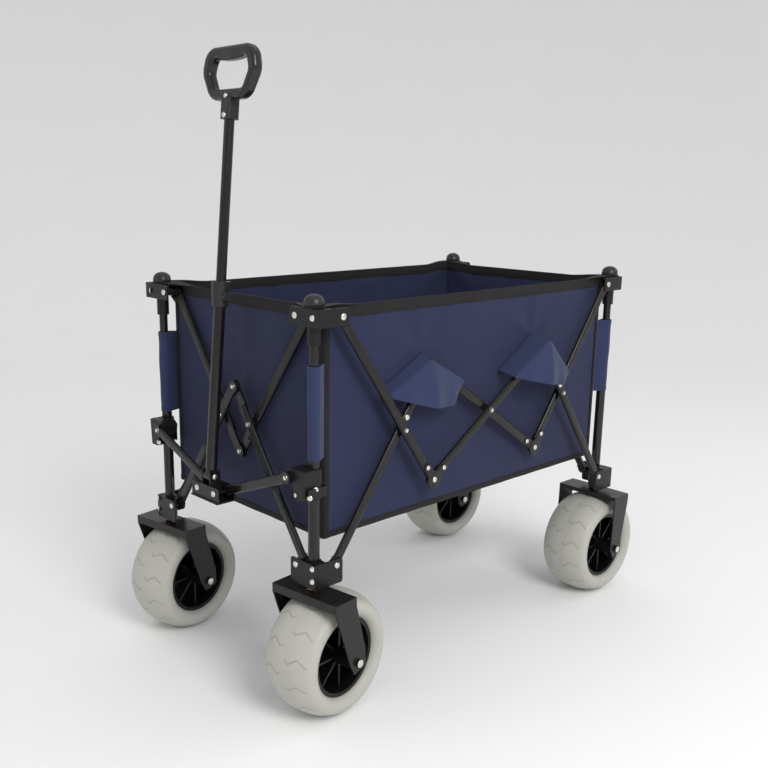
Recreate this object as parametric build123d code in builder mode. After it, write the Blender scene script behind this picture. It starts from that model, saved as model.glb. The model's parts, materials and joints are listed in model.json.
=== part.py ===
"""Folding beach cart: scissor frame on four telescoping posts, balloon wheels, fabric basket.

Frame: +X towards the pull handle, +Y to the cart's left, +Z up, origin on the ground midway between
the four posts. All sizes are in millimetres.
"""

import os
from math import cos, hypot, radians, sin, sqrt, tan

from build123d import *

os.makedirs("parts", exist_ok=True)

# ---------------------------------------------------------------- driving dimensions
post_spacing_x = 848.0
post_spacing_y = 457.0
cap_top_height = 748.0

# telescoping posts
lower_post_radius = 10.0
upper_post_radius = 8.0
post_wall = 1.5
lower_post_top = 500.0
upper_post_bottom = 362.0

# scissor bars: flattened oval tube
bar_width = 18.0
bar_thickness = 9.0
bar_wall = 1.5
bar_angle = 54.5
pin_radius = 3.0
pin_head_radius = 5.5
pin_head_height = 1.6
eye_radius = 10.5
tongue_radius = 12.0
tongue_reach = 17.0
tongue_grip = 9.0
end_tongue_reach = 40.0
boss_radius = 6.5

# where the scissors are pinned
bottom_pin_height = 280.0
top_pin_height = 712.0
side_pin_inset = 34.0
end_pin_inset = 30.0
side_joint_x = 160.0
side_inner_offset = 14.0
end_inner_offset = -16.0
layer_pitch = 12.0

# clearances
running = 0.05
loose = 0.3
gap = 0.4

# corner brackets
bracket_plate = 2.5
bracket_plate_offset = 14.0
bracket_margin = 13.0
top_bracket_height = 29.0
top_socket_radius = 11.5
top_socket_length = 32.0
bottom_bracket_height = 45.0
bottom_bracket_drop = 33.0
bottom_socket_radius = 13.5
post_seat_height = 18.0
bracket_corner = 5.0
cap_radius = 17.0
cap_height = 18.5
cap_rim = 4.0
cap_stem = 12.0

# wheels
tyre_diameter = 226.0
tyre_width = 111.0
tyre_crown = 2.5
hub_diameter = 146.0
hub_width = 86.0
hub_rim_wall = 7.0
hub_web = 8.0
hub_barrel_radius = 15.0
hub_rib = 4.0
hub_rib_count = 8
hub_rib_inset = 12.0
axle_radius = 5.0
axle_head_radius = 8.0
axle_head_height = 5.0

# forks
fork_width = 150.0
fork_depth = 53.0
fork_top_height = 238.0
fork_plate = 3.0
fork_flange = 16.0
fork_arm_tip = 40.0
front_trail = 32.0
rear_axle_advance = 9.5
tyre_clearance = 4.0
stem_radius = 6.0
stem_washer_radius = 11.0
stem_depth = 14.0
castor_rest = {"front_left": 7.0, "front_right": 9.0}

# front pull linkage
pull_ahead = 52.0
link_top_height = 442.0
link_top_inset = 26.5
link_foot_height = 374.0
link_foot_y = 26.0
clamp_top = 16.0
clamp_foot = 36.0
clamp_toe = 9.0
clamp_heel = 13.0
clamp_nose = 11.0
clamp_nose_top = 9.0
clamp_jaw = 8.0
clamp_jaw_depth = 10.0
clamp_throat = 18.0
clamp_throat_depth = 14.0
clamp_corner = 3.0
clamp_ring = 3.5
pin_root = 4.0
strap_thickness = 2.0
strap_low = 33.0
strap_high = 15.0
strap_end = 6.0
bracket_half_length = 42.0
channel_plate = 2.5
channel_lip = 3.0
channel_below = 14.0
channel_above = 12.0
cheek_above = 38.0

# pull handle
handle_pivot_above = 26.0
handle_lean = 5.2
handle_outer_radius = 10.5
handle_inner_radius = 9.0
handle_wall = 1.2
handle_outer_length = 330.0
handle_insert = 62.0
handle_exposed = 325.0
handle_foot_wall = 4.0
collar_length = 44.0
button_height = 18.5
button_radius = 8.0
button_proud = 5.0
collar_top_radius = 17.5
collar_bottom_radius = 14.0
neck_width = 25.0
neck_depth = 24.0
neck_corner = 4.0
neck_length = 36.0
neck_head = 6.0
neck_end_gap = 1.0
grip_low = -4.0
grip_height = 88.0
grip_widest_height = 46.0
grip_width = 154.0
grip_foot = 100.0
grip_head = 132.0
grip_corner = 30.0
grip_bar = 18.0
grip_side_bar = 21.0
grip_depth = 22.0
grip_hole_corner = 12.0
grip_palm_swell = 6.0
grip_edge = 8.0

# basket and floor
basket_gap_x = 26.0
basket_gap_y = 5.0
basket_bottom = 323.0
basket_rim = 729.3
fabric = 3.0
tab_thickness = 2.0
tab_radius = 19.0
floor_board = 5.0
floor_gap = 2.0
floor_margin = 7.0

# ---------------------------------------------------------------- worked out
half_x = post_spacing_x / 2
half_y = post_spacing_y / 2
pull_x = half_x + pull_ahead
corners = {
    "front_left": (1, 1),
    "front_right": (1, -1),
    "rear_left": (-1, 1),
    "rear_right": (-1, -1),
}
slope = tan(radians(bar_angle))
centre_height = (bottom_pin_height + top_pin_height) / 2
half_rise = (top_pin_height - bottom_pin_height) / 2
half_run = half_rise / slope
side_pin_x = half_x - side_pin_inset
side_cross_x = side_pin_x - half_run
side_drop = (side_cross_x - side_joint_x) * slope
end_pin_y = half_y - end_pin_inset
end_cross_y = end_pin_y - half_run
end_drop = end_cross_y * slope
side_outer_offset = side_inner_offset + layer_pitch
end_outer_offset = end_inner_offset + layer_pitch
tyre_radius = tyre_diameter / 2
hub_radius = hub_diameter / 2
bracket_bottom = bottom_pin_height - bottom_bracket_drop
post_seat = bracket_bottom + post_seat_height
top_bracket_bottom = top_pin_height - top_bracket_height / 2
top_bracket_top = top_pin_height + top_bracket_height / 2


def save(piece, label):
    """Label a finished piece and write its STEP file."""
    piece.part.label = label
    export_step(piece.part, f"parts/{label}.step")


def block(low, high, mode=Mode.ADD):
    """Add a box between two opposite corners, given in any order."""
    size = [abs(b - a) for a, b in zip(low, high)]
    middle = [(a + b) / 2 for a, b in zip(low, high)]
    with Locations(tuple(middle)):
        Box(*size, mode=mode)


def rod(start, direction, radius, length, mode=Mode.ADD):
    """Add a cylinder that runs from a point along a direction."""
    with BuildSketch(Plane(origin=start, z_dir=direction)) as section:
        Circle(radius)
    extrude(section.sketch, amount=length, mode=mode)


# ---------------------------------------------------------------- scissor bars
class Bar:
    """One scissor bar: where it runs and what it carries at each pivot."""

    def __init__(self, start, end, outward):
        self.start = Vector(*start)
        self.end = Vector(*end)
        self.outward = Vector(*outward)
        self.along = (self.end - self.start).normalized()
        self.length = (self.end - self.start).length
        self.across = self.outward.cross(self.along)

    def face(self, height):
        """Plane parallel to the bar's flat face, with its origin over the bar's start."""
        origin = self.start + self.outward * height
        return Plane(origin=origin, x_dir=self.along, z_dir=self.outward)

    def tube(self, station_a, station_b):
        """The flattened tube between two stations along the bar."""
        origin = self.start + self.along * station_a
        with BuildSketch(Plane(origin=origin, x_dir=self.across, z_dir=self.along)) as section:
            SlotOverall(bar_width, bar_thickness)
            SlotOverall(bar_width - 2 * bar_wall, bar_thickness - 2 * bar_wall, mode=Mode.SUBTRACT)
        extrude(section.sketch, amount=station_b - station_a)

    def lug(self, station, radius, low, high, reach):
        """A round lug about a pivot, joined to the tube by a neck of the given reach."""
        with BuildSketch(self.face(low)) as outline:
            with Locations((station, 0)):
                Circle(radius)
            with Locations((station + reach / 2, 0)):
                Rectangle(abs(reach), bar_width)
        extrude(outline.sketch, amount=high - low)

    def pin(self, station, low, high, radius):
        """A round pin or head on a pivot, between two heights over the bar's middle."""
        with BuildSketch(self.face(low)) as outline:
            with Locations((station, 0)):
                Circle(radius)
        extrude(outline.sketch, amount=high - low)

    def hole(self, station, clearance):
        """A pivot hole through the bar."""
        with BuildSketch(self.face(-bar_thickness)) as outline:
            with Locations((station, 0)):
                Circle(pin_radius + clearance)
        extrude(outline.sketch, amount=2 * bar_thickness, mode=Mode.SUBTRACT)


def make_bar(label, start, end, outward, ends, cross, carries, holes, reach=tongue_reach):
    """Build one scissor bar.

    ends gives each end as "eye", "inner" or "outer"; cross is the station of the middle pivot;
    carries lists the pivots whose pin belongs to this bar; holes gives the clearance at each
    pivot that another piece's pin passes; reach is how far from its pivot a lapped end is thin.
    """
    line = Bar(start, end, outward)
    half = bar_thickness / 2
    split = loose
    stations = {"start": 0.0, "cross": cross, "end": line.length}
    reach_a = 0.0 if ends[0] == "eye" else reach
    reach_b = 0.0 if ends[1] == "eye" else reach
    plug = eye_radius
    with BuildPart() as bar:
        line.tube(reach_a + plug * (ends[0] == "eye"), line.length - reach_b - plug * (ends[1] == "eye"))
        for kind, station, sense in ((ends[0], 0.0, 1), (ends[1], line.length, -1)):
            if kind == "eye":
                line.lug(station, eye_radius, -half, half, sense * (plug + bar_wall))
            elif kind == "inner":
                line.lug(station, tongue_radius, -half, -split, sense * (reach + tongue_grip))
            else:
                line.lug(station, tongue_radius, split, half, sense * (reach + tongue_grip))
        if cross:
            line.pin(cross, -half, half, boss_radius)
        if "cross" in carries:
            over = half + layer_pitch
            line.pin(cross, half, layer_pitch - half - gap / 2, boss_radius)
            line.pin(cross, 0, over + gap, pin_radius)
            line.pin(cross, over + gap / 2, over + gap / 2 + pin_head_height, pin_head_radius)
        for name in ("start", "end"):
            if name in carries:
                line.pin(stations[name], -half, half + gap, pin_radius)
                line.pin(stations[name], half + gap / 2, half + gap / 2 + pin_head_height, pin_head_radius)
        for name, clearance in holes.items():
            line.hole(stations[name], clearance)
    save(bar, label)


long_arm = half_rise / sin(radians(bar_angle))
short_arm = side_drop / sin(radians(bar_angle))
middle_arm = hypot(side_joint_x, side_drop)

valley = centre_height - side_drop
peak = centre_height + side_drop
for side_name, side in (("left", 1), ("right", -1)):
    outward = (0, side, 0)
    inner_y = side * (half_y + side_inner_offset)
    outer_y = side * (half_y + side_outer_offset)
    make_bar(
        f"side_bar_front_fall_{side_name}",
        (side_pin_x, outer_y, top_pin_height),
        (side_joint_x, outer_y, valley),
        outward,
        ("eye", "outer"),
        long_arm,
        (),
        {"start": loose if side < 0 else running, "cross": running},
    )
    make_bar(
        f"side_bar_front_rise_{side_name}",
        (side_pin_x, inner_y, bottom_pin_height),
        (side_joint_x, inner_y, peak),
        outward,
        ("eye", "inner"),
        long_arm,
        ("cross", "end"),
        {"start": running},
    )
    make_bar(
        f"side_bar_middle_rise_{side_name}",
        (side_joint_x, outer_y, valley),
        (-side_joint_x, outer_y, peak),
        outward,
        ("inner", "inner"),
        middle_arm,
        (),
        {"cross": running},
    )
    make_bar(
        f"side_bar_middle_fall_{side_name}",
        (side_joint_x, inner_y, peak),
        (-side_joint_x, inner_y, valley),
        outward,
        ("outer", "outer"),
        middle_arm,
        ("cross",),
        {"start": running, "end": running},
    )
    make_bar(
        f"side_bar_rear_rise_{side_name}",
        (-side_joint_x, inner_y, valley),
        (-side_pin_x, inner_y, top_pin_height),
        outward,
        ("inner", "eye"),
        short_arm,
        ("start", "cross"),
        {"end": running},
    )
    make_bar(
        f"side_bar_rear_fall_{side_name}",
        (-side_joint_x, outer_y, peak),
        (-side_pin_x, outer_y, bottom_pin_height),
        outward,
        ("outer", "eye"),
        short_arm,
        (),
        {"cross": running, "end": running},
    )

end_valley = centre_height - end_drop
end_peak = centre_height + end_drop
for end_name, end in (("front", 1), ("rear", -1)):
    outward = (end, 0, 0)
    inner_x = end * (half_x + end_inner_offset)
    outer_x = end * (half_x + end_outer_offset)
    for side_name, side in (("left", 1), ("right", -1)):
        first = side > 0
        make_bar(
            f"end_bar_rise_{end_name}_{side_name}",
            (outer_x, side * end_pin_y, bottom_pin_height),
            (outer_x, 0, end_peak),
            outward,
            ("eye", "inner" if first else "outer"),
            long_arm,
            ("end",) if first else (),
            {"start": running, "cross": running} if first else
            {"start": loose if end < 0 else running, "cross": running, "end": running},
            end_tongue_reach,
        )
        make_bar(
            f"end_bar_fall_{end_name}_{side_name}",
            (inner_x, side * end_pin_y, top_pin_height),
            (inner_x, 0, end_valley),
            outward,
            ("eye", "inner" if first else "outer"),
            long_arm,
            ("cross", "end") if first else ("cross",),
            {"start": loose} if first else
            {"start": loose if end < 0 else running, "end": loose},
            end_tongue_reach,
        )


# ---------------------------------------------------------------- posts and corner brackets
def bracket_pin(start, inward, plate_gap):
    """A pin that stands inward from a bracket plate, through one bar, with a head behind it."""
    start = Vector(*start)
    inward = Vector(*inward)
    if plate_gap > gap:
        rod(start, inward, boss_radius, plate_gap - gap)
    rod(start, inward, pin_radius, plate_gap + bar_thickness + gap)
    head = start + inward * (plate_gap + bar_thickness + gap / 2)
    rod(head, inward, pin_head_radius, pin_head_height)


def bracket_plates(corner, low, high, pin_height, side_offset, end_offset):
    """The bent outer plate of a corner bracket with its two bar pins."""
    sx, sy = corners[corner]

    def at(out_x, out_y, z):
        return (sx * (half_x + out_x), sy * (half_y + out_y), z)

    side_plate = side_offset + bar_thickness / 2 + gap
    end_plate = bracket_plate_offset
    block(
        at(end_plate, side_plate + bracket_plate, low),
        at(end_plate + bracket_plate, -end_pin_inset - bracket_margin, high),
    )
    block(
        at(end_plate + bracket_plate, side_plate, low),
        at(-side_pin_inset - bracket_margin, side_plate + bracket_plate, high),
    )
    block(at(0, -lower_post_radius, low), at(end_plate, lower_post_radius, high))
    block(at(-lower_post_radius, 0, low), at(lower_post_radius, side_plate, high))
    bracket_pin(at(-side_pin_inset, side_plate, pin_height), (0, -sy, 0), gap)
    end_gap = end_plate - (end_offset + bar_thickness / 2)
    bracket_pin(at(end_plate, -end_pin_inset, pin_height), (-sx, 0, 0), end_gap)


def round_wing_corners(bracket):
    """Round the free corners of a bracket's two plates."""
    wing_edges = [
        edge
        for edge in bracket.edges().filter_by(GeomType.LINE)
        if abs(edge.length - bracket_plate) < 0.01 and abs(edge.tangent_at(0).Z) < 0.01
    ]
    far = [
        edge
        for edge in wing_edges
        if abs(edge.center().X) < half_x - side_pin_inset or abs(edge.center().Y) < half_y - end_pin_inset
    ]
    fillet(far, radius=bracket_corner)


for name, (sx, sy) in corners.items():
    front = sx > 0
    top_side_offset = side_outer_offset if front else side_inner_offset
    bottom_side_offset = side_inner_offset if front else side_outer_offset
    post_x, post_y = sx * half_x, sy * half_y

    with BuildPart() as top_bracket:
        bracket_plates(
            name, top_bracket_bottom, top_bracket_top, top_pin_height, top_side_offset, end_inner_offset
        )
        rod(
            (post_x, post_y, top_bracket_bottom - top_socket_length),
            (0, 0, 1),
            top_socket_radius,
            top_socket_length + top_bracket_height,
        )
        rod(
            (post_x, post_y, top_bracket_bottom - top_socket_length),
            (0, 0, 1),
            upper_post_radius + running,
            top_socket_length + top_bracket_height,
            Mode.SUBTRACT,
        )
        round_wing_corners(top_bracket)
        cap_base = cap_top_height - cap_height
        dome_rise = cap_height - cap_rim
        dome_radius = (cap_radius**2 + dome_rise**2) / (2 * dome_rise)
        with BuildSketch(Plane(origin=(post_x, post_y, 0), x_dir=(1, 0, 0), z_dir=(0, -1, 0))):
            with BuildLine():
                Polyline((0, cap_base), (cap_radius, cap_base), (cap_radius, cap_base + cap_rim))
                RadiusArc((cap_radius, cap_base + cap_rim), (0, cap_top_height), -dome_radius)
                Line((0, cap_top_height), (0, cap_base))
            make_face()
        revolve(axis=Axis((post_x, post_y, 0), (0, 0, 1)))
        stem_foot = (post_x, post_y, cap_base - cap_stem)
        rod(stem_foot, (0, 0, 1), upper_post_radius - post_wall - running, cap_stem + cap_rim)
    save(top_bracket, f"top_bracket_{name}")

    with BuildPart() as upper_post:
        post_foot = (post_x, post_y, upper_post_bottom)
        post_run = top_bracket_top - upper_post_bottom
        rod(post_foot, (0, 0, 1), upper_post_radius, post_run)
        rod(post_foot, (0, 0, 1), upper_post_radius - post_wall, post_run, Mode.SUBTRACT)
    save(upper_post, f"upper_post_{name}")

    with BuildPart() as lower_post:
        rod((post_x, post_y, post_seat), (0, 0, 1), lower_post_radius, lower_post_top - post_seat)
        rod(
            (post_x, post_y, post_seat),
            (0, 0, 1),
            lower_post_radius - post_wall,
            lower_post_top - post_seat,
            Mode.SUBTRACT,
        )
    save(lower_post, f"lower_post_{name}")

    with BuildPart() as bottom_bracket:
        bracket_plates(
            name,
            bracket_bottom,
            bracket_bottom + bottom_bracket_height,
            bottom_pin_height,
            bottom_side_offset,
            end_outer_offset,
        )
        rod((post_x, post_y, bracket_bottom), (0, 0, 1), bottom_socket_radius, bottom_bracket_height)
        rod(
            (post_x, post_y, post_seat),
            (0, 0, 1),
            lower_post_radius + running,
            bottom_bracket_height,
            Mode.SUBTRACT,
        )
        stem_hole = (post_x, post_y, bracket_bottom)
        rod(stem_hole, (0, 0, 1), stem_radius + running, post_seat_height, Mode.SUBTRACT)
        round_wing_corners(bottom_bracket)
    save(bottom_bracket, f"bottom_bracket_{name}")


# ---------------------------------------------------------------- forks and wheels
def tyre_height_at(distance):
    """Height of the tyre's top at a distance ahead of or behind its axle."""
    return tyre_radius + sqrt(tyre_radius**2 - distance**2)


def wheel_frame(name):
    """The upright plane through a wheel's post: x along the fork's travel, z sideways."""
    sx, sy = corners[name]
    turn = radians(castor_rest.get(name, 0.0))
    forward = (cos(turn), sin(turn), 0)
    sideways = (sin(turn), -cos(turn), 0)
    return Plane(origin=(sx * half_x, sy * half_y, 0), x_dir=forward, z_dir=sideways)


for name, (sx, sy) in corners.items():
    castor = name in castor_rest
    axle_x = -front_trail if castor else rear_axle_advance
    upright = wheel_frame(name)
    half_depth = fork_depth / 2
    half_tip = fork_arm_tip / 2

    with BuildPart() as fork:
        with BuildSketch(upright.offset(-fork_width / 2)):
            with Locations((0, fork_top_height - fork_plate / 2)):
                Rectangle(fork_depth, fork_plate)
        extrude(amount=fork_width)
        for edge_x in (-half_depth, half_depth):
            flange_x = edge_x - fork_plate / 2 * (1 if edge_x > 0 else -1)
            room = fork_top_height - tyre_height_at(edge_x - axle_x) - tyre_clearance
            drop = min(fork_flange, room)
            with BuildSketch(upright.offset(-fork_width / 2)):
                with Locations((flange_x, fork_top_height - drop / 2)):
                    Rectangle(fork_plate, drop)
            extrude(amount=fork_width)
        for arm_offset in (-fork_width / 2, fork_width / 2 - fork_plate):
            with BuildSketch(upright.offset(arm_offset)):
                with BuildLine():
                    Polyline(
                        (-half_depth, fork_top_height),
                        (half_depth, fork_top_height),
                        (half_depth, fork_top_height - fork_flange),
                        (axle_x + half_tip, tyre_radius),
                        (axle_x + half_tip * 0.45, tyre_radius - half_tip),
                        (axle_x - half_tip, tyre_radius - half_tip * 0.55),
                        (axle_x - half_tip * 0.95, tyre_radius + half_tip),
                        (-half_depth, fork_top_height - fork_flange),
                        close=True,
                    )
                make_face()
                with Locations((axle_x, tyre_radius)):
                    Circle(axle_radius + running, mode=Mode.SUBTRACT)
            extrude(amount=fork_plate)
        post_foot = (sx * half_x, sy * half_y, fork_top_height)
        rod(post_foot, (0, 0, 1), stem_washer_radius, bracket_bottom - fork_top_height - gap)
        rod(post_foot, (0, 0, 1), stem_radius, bracket_bottom - fork_top_height + stem_depth)
        with BuildSketch(upright.offset(-fork_width / 2 - axle_head_height)):
            with Locations((axle_x, tyre_radius)):
                Circle(axle_head_radius)
        extrude(amount=axle_head_height - running)
        with BuildSketch(upright.offset(fork_width / 2 + running)):
            with Locations((axle_x, tyre_radius)):
                Circle(axle_head_radius)
        extrude(amount=axle_head_height - running)
        with BuildSketch(upright.offset(-fork_width / 2 - axle_head_height)):
            with Locations((axle_x, tyre_radius)):
                Circle(axle_radius)
        extrude(amount=fork_width + 2 * axle_head_height)
    save(fork, f"fork_{name}")

    axle_middle = upright.from_local_coords((axle_x, tyre_radius, 0))
    axle_axis = Axis(axle_middle, upright.z_dir)
    across = Plane(origin=axle_middle, x_dir=upright.z_dir, z_dir=upright.x_dir)

    bead = hub_width / 2 + 1.0
    half_tyre = tyre_width / 2
    bulge_radius = hub_radius + (tyre_radius - hub_radius) * 0.42
    shoulder = (half_tyre * 0.84, tyre_radius - (tyre_radius - hub_radius) * 0.26)
    with BuildPart() as tyre:
        with BuildSketch(across):
            with BuildLine():
                Line((-bead, hub_radius + running), (bead, hub_radius + running))
                ThreePointArc((bead, hub_radius + running), (half_tyre, bulge_radius), shoulder)
                ThreePointArc(shoulder, (half_tyre * 0.5, tyre_radius - tyre_crown), (0, tyre_radius))
                ThreePointArc(
                    (0, tyre_radius),
                    (-half_tyre * 0.5, tyre_radius - tyre_crown),
                    (-shoulder[0], shoulder[1]),
                )
                ThreePointArc(
                    (-shoulder[0], shoulder[1]),
                    (-half_tyre, bulge_radius),
                    (-bead, hub_radius + running),
                )
            make_face()
        revolve(axis=axle_axis)
    save(tyre, f"tyre_{name}")

    barrel_half = fork_width / 2 - fork_plate - 2.0
    rib_inner = hub_barrel_radius - 2.0
    rib_outer = hub_radius - hub_rim_wall + 1.0
    with BuildPart() as hub:
        with BuildSketch(across):
            rim_mid = hub_radius - hub_rim_wall / 2
            with Locations((0, rim_mid)):
                Rectangle(hub_width, hub_rim_wall)
            with Locations((0, rim_mid / 2 + hub_barrel_radius / 2)):
                Rectangle(hub_web, rim_mid - hub_barrel_radius + 2)
            with Locations((0, (hub_barrel_radius + axle_radius + running) / 2)):
                Rectangle(2 * barrel_half, hub_barrel_radius - axle_radius - running)
        revolve(axis=axle_axis)
        hub_plane = Plane(origin=across.origin, x_dir=upright.x_dir, z_dir=upright.z_dir)
        with BuildSketch(hub_plane.offset(-hub_width / 2 + hub_rib_inset)):
            with PolarLocations((rib_inner + rib_outer) / 2, hub_rib_count):
                Rectangle(rib_outer - rib_inner, hub_rib)
        extrude(amount=hub_width - 2 * hub_rib_inset)
    save(hub, f"hub_{name}")


# ---------------------------------------------------------------- front pull linkage
link_x = pull_x - handle_outer_radius - 1.0 - bar_thickness / 2
clamp_face = link_x - bar_thickness / 2 - gap
link_top_y = half_y - link_top_inset

for side_name, side in (("left", 1), ("right", -1)):
    post = (half_x, side * half_y)
    with BuildPart() as clamp:
        face_origin = (clamp_face, post[1], link_top_height)
        with BuildSketch(Plane(origin=face_origin, x_dir=(0, side, 0), z_dir=(side, 0, 0))):
            with BuildLine():
                Polyline(
                    (-link_top_inset - clamp_nose, clamp_nose_top),
                    (-link_top_inset - clamp_jaw, -clamp_jaw_depth),
                    (-clamp_throat, -clamp_throat_depth),
                    (-clamp_heel, -clamp_foot),
                    (clamp_toe, -clamp_foot),
                    (clamp_heel, clamp_top),
                    (-link_top_inset, clamp_top),
                    close=True,
                )
            make_face()
            fillet(vertices(), radius=clamp_corner)
        extrude(amount=-side * (clamp_face - half_x))
        ring_height = clamp_top + clamp_foot
        ring_foot = (*post, link_top_height - clamp_foot)
        rod(ring_foot, (0, 0, 1), lower_post_radius + clamp_ring, ring_height)
        rod(ring_foot, (0, 0, 1), lower_post_radius + running, ring_height, Mode.SUBTRACT)
        pin_start = (clamp_face - pin_root, side * link_top_y, link_top_height)
        rod(pin_start, (1, 0, 0), pin_radius, pin_root + bar_thickness + 2 * gap)
        head_start = (link_x + bar_thickness / 2 + gap / 2, side * link_top_y, link_top_height)
        rod(head_start, (1, 0, 0), pin_head_radius, pin_head_height)
        strap_y = side * (half_y + lower_post_radius + clamp_ring + loose)
        strap_back = half_x - lower_post_radius - clamp_ring - loose
        block(
            (strap_back, strap_y, link_top_height - strap_low),
            (clamp_face - strap_end, strap_y + side * strap_thickness, link_top_height - strap_high),
        )
        strap_inside = side * (half_y - lower_post_radius)
        block(
            (strap_back, strap_y + side * strap_thickness, link_top_height - strap_low),
            (strap_back - strap_thickness, strap_inside, link_top_height - strap_high),
        )
    save(clamp, f"link_clamp_{side_name}")

    make_bar(
        f"pull_link_{side_name}",
        (link_x, side * link_top_y, link_top_height),
        (link_x, side * link_foot_y, link_foot_height),
        (1, 0, 0),
        ("eye", "eye"),
        0.0,
        (),
        {"start": running, "end": running},
    )

cheek_in = handle_outer_radius + gap
channel_back = link_x - bar_thickness / 2 - gap
channel_front = pull_x + handle_outer_radius + 1.0
channel_low = link_foot_height - channel_below
channel_high = link_foot_height + channel_above
with BuildPart() as pull_bracket:
    block(
        (channel_front, -bracket_half_length, channel_low),
        (channel_front + channel_plate, bracket_half_length, channel_high),
    )
    block(
        (channel_back - channel_plate, -bracket_half_length, channel_low),
        (channel_back, bracket_half_length, channel_high),
    )
    block(
        (channel_back - channel_plate, -bracket_half_length, channel_low - channel_plate),
        (channel_front + channel_plate + channel_lip, bracket_half_length, channel_low),
    )
    for side in (1, -1):
        block(
            (link_x + bar_thickness / 2 + gap, side * cheek_in, channel_low),
            (channel_front, side * (cheek_in + channel_plate), link_foot_height + cheek_above),
        )
    pitch_pin = (pull_x, -cheek_in - channel_plate, link_foot_height + handle_pivot_above)
    rod(pitch_pin, (0, 1, 0), pin_radius, 2 * (cheek_in + channel_plate))
    rod((channel_back, link_foot_y, link_foot_height), (1, 0, 0), pin_radius, channel_front - channel_back)
save(pull_bracket, "pull_bracket")

# ---------------------------------------------------------------- pull handle
lean = radians(handle_lean)
handle_up = Vector(-sin(lean), 0, cos(lean))
handle_pivot = Vector(pull_x, 0, link_foot_height + handle_pivot_above)


def on_handle(distance):
    """A point on the handle's centre line, at a distance above its pitch pin."""
    return handle_pivot + handle_up * distance


foot_round = handle_outer_radius + gap
with BuildPart() as handle_outer:
    rod(on_handle(0), handle_up, handle_outer_radius, handle_outer_length)
    with Locations(Plane(origin=handle_pivot, x_dir=(1, 0, 0), z_dir=(0, 1, 0))):
        Cylinder(foot_round, 2 * handle_outer_radius)
    bore_foot = on_handle(foot_round + handle_foot_wall)
    rod(bore_foot, handle_up, handle_outer_radius - handle_wall, handle_outer_length, Mode.SUBTRACT)
    rod(
        handle_pivot - Vector(0, 2 * handle_outer_radius, 0),
        (0, 1, 0),
        pin_radius + running,
        4 * handle_outer_radius,
        Mode.SUBTRACT,
    )
save(handle_outer, "handle_outer_tube")

collar_start = handle_outer_length - collar_length / 2
with BuildPart() as collar:
    with BuildSketch(Plane(origin=on_handle(collar_start), z_dir=handle_up)):
        Circle(collar_bottom_radius)
    with BuildSketch(Plane(origin=on_handle(collar_start + collar_length), z_dir=handle_up)):
        Circle(collar_top_radius)
    loft()
    rod(on_handle(collar_start + button_height), (0, 1, 0), button_radius, collar_top_radius + button_proud)
    cut_start = on_handle(collar_start - gap)
    rod(cut_start, handle_up, handle_outer_radius + running, collar_length / 2 + gap, Mode.SUBTRACT)
    rod(cut_start, handle_up, handle_inner_radius + loose, collar_length + 2 * gap, Mode.SUBTRACT)
save(collar, "handle_collar")

inner_start = handle_outer_length - handle_insert
inner_end = handle_outer_length + handle_exposed
with BuildPart() as handle_inner:
    inner_run = inner_end - inner_start
    rod(on_handle(inner_start), handle_up, handle_inner_radius, inner_run)
    rod(on_handle(inner_start), handle_up, handle_inner_radius - handle_wall, inner_run, Mode.SUBTRACT)
save(handle_inner, "handle_inner_tube")

neck_start = inner_end - neck_length + neck_head
grip_base = neck_start + neck_length
grip_plane = Plane(origin=on_handle(grip_base), x_dir=(0, 1, 0), z_dir=Vector(0, 1, 0).cross(handle_up))
widest = grip_low + grip_widest_height
head = grip_low + grip_height
hole_side = grip_width / 2 - grip_side_bar
hole_foot = grip_foot / 2 - grip_bar / 2
hole_head = grip_head / 2 - grip_bar
hole_low = grip_low + grip_bar
hole_high = head - grip_bar
with BuildPart() as grip:
    with BuildSketch(grip_plane):
        with BuildLine():
            Polyline(
                (-grip_foot / 2, grip_low),
                (grip_foot / 2, grip_low),
                (grip_width / 2, widest),
                (grip_head / 2, head),
                (-grip_head / 2, head),
                (-grip_width / 2, widest),
                close=True,
            )
        make_face()
        fillet(vertices(), radius=grip_corner)
    extrude(amount=grip_depth / 2, both=True)
    with BuildSketch(grip_plane) as hole:
        with BuildLine():
            Polyline(
                (-hole_head, hole_high),
                (-hole_side, widest),
                (-hole_foot, hole_low),
                (hole_foot, hole_low),
                (hole_side, widest),
                (hole_head, hole_high),
            )
            palm = (0, hole_high - grip_palm_swell)
            ThreePointArc((hole_head, hole_high), palm, (-hole_head, hole_high))
        make_face()
        fillet(hole.vertices(), radius=grip_hole_corner)
    extrude(amount=grip_depth / 2, both=True, mode=Mode.SUBTRACT)
    front_and_back = grip.edges().filter_by(lambda e: abs(e.tangent_at(0.5).dot(grip_plane.z_dir)) < 0.05)
    fillet(front_and_back, radius=grip_edge)
    with BuildSketch(Plane(origin=on_handle(neck_start), x_dir=(0, 1, 0), z_dir=handle_up)):
        RectangleRounded(neck_width, neck_depth, neck_corner)
    extrude(amount=neck_length)
    socket_run = neck_length - neck_head + neck_end_gap
    rod(on_handle(neck_start), handle_up, handle_inner_radius + running, socket_run, Mode.SUBTRACT)
save(grip, "handle_grip")

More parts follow.
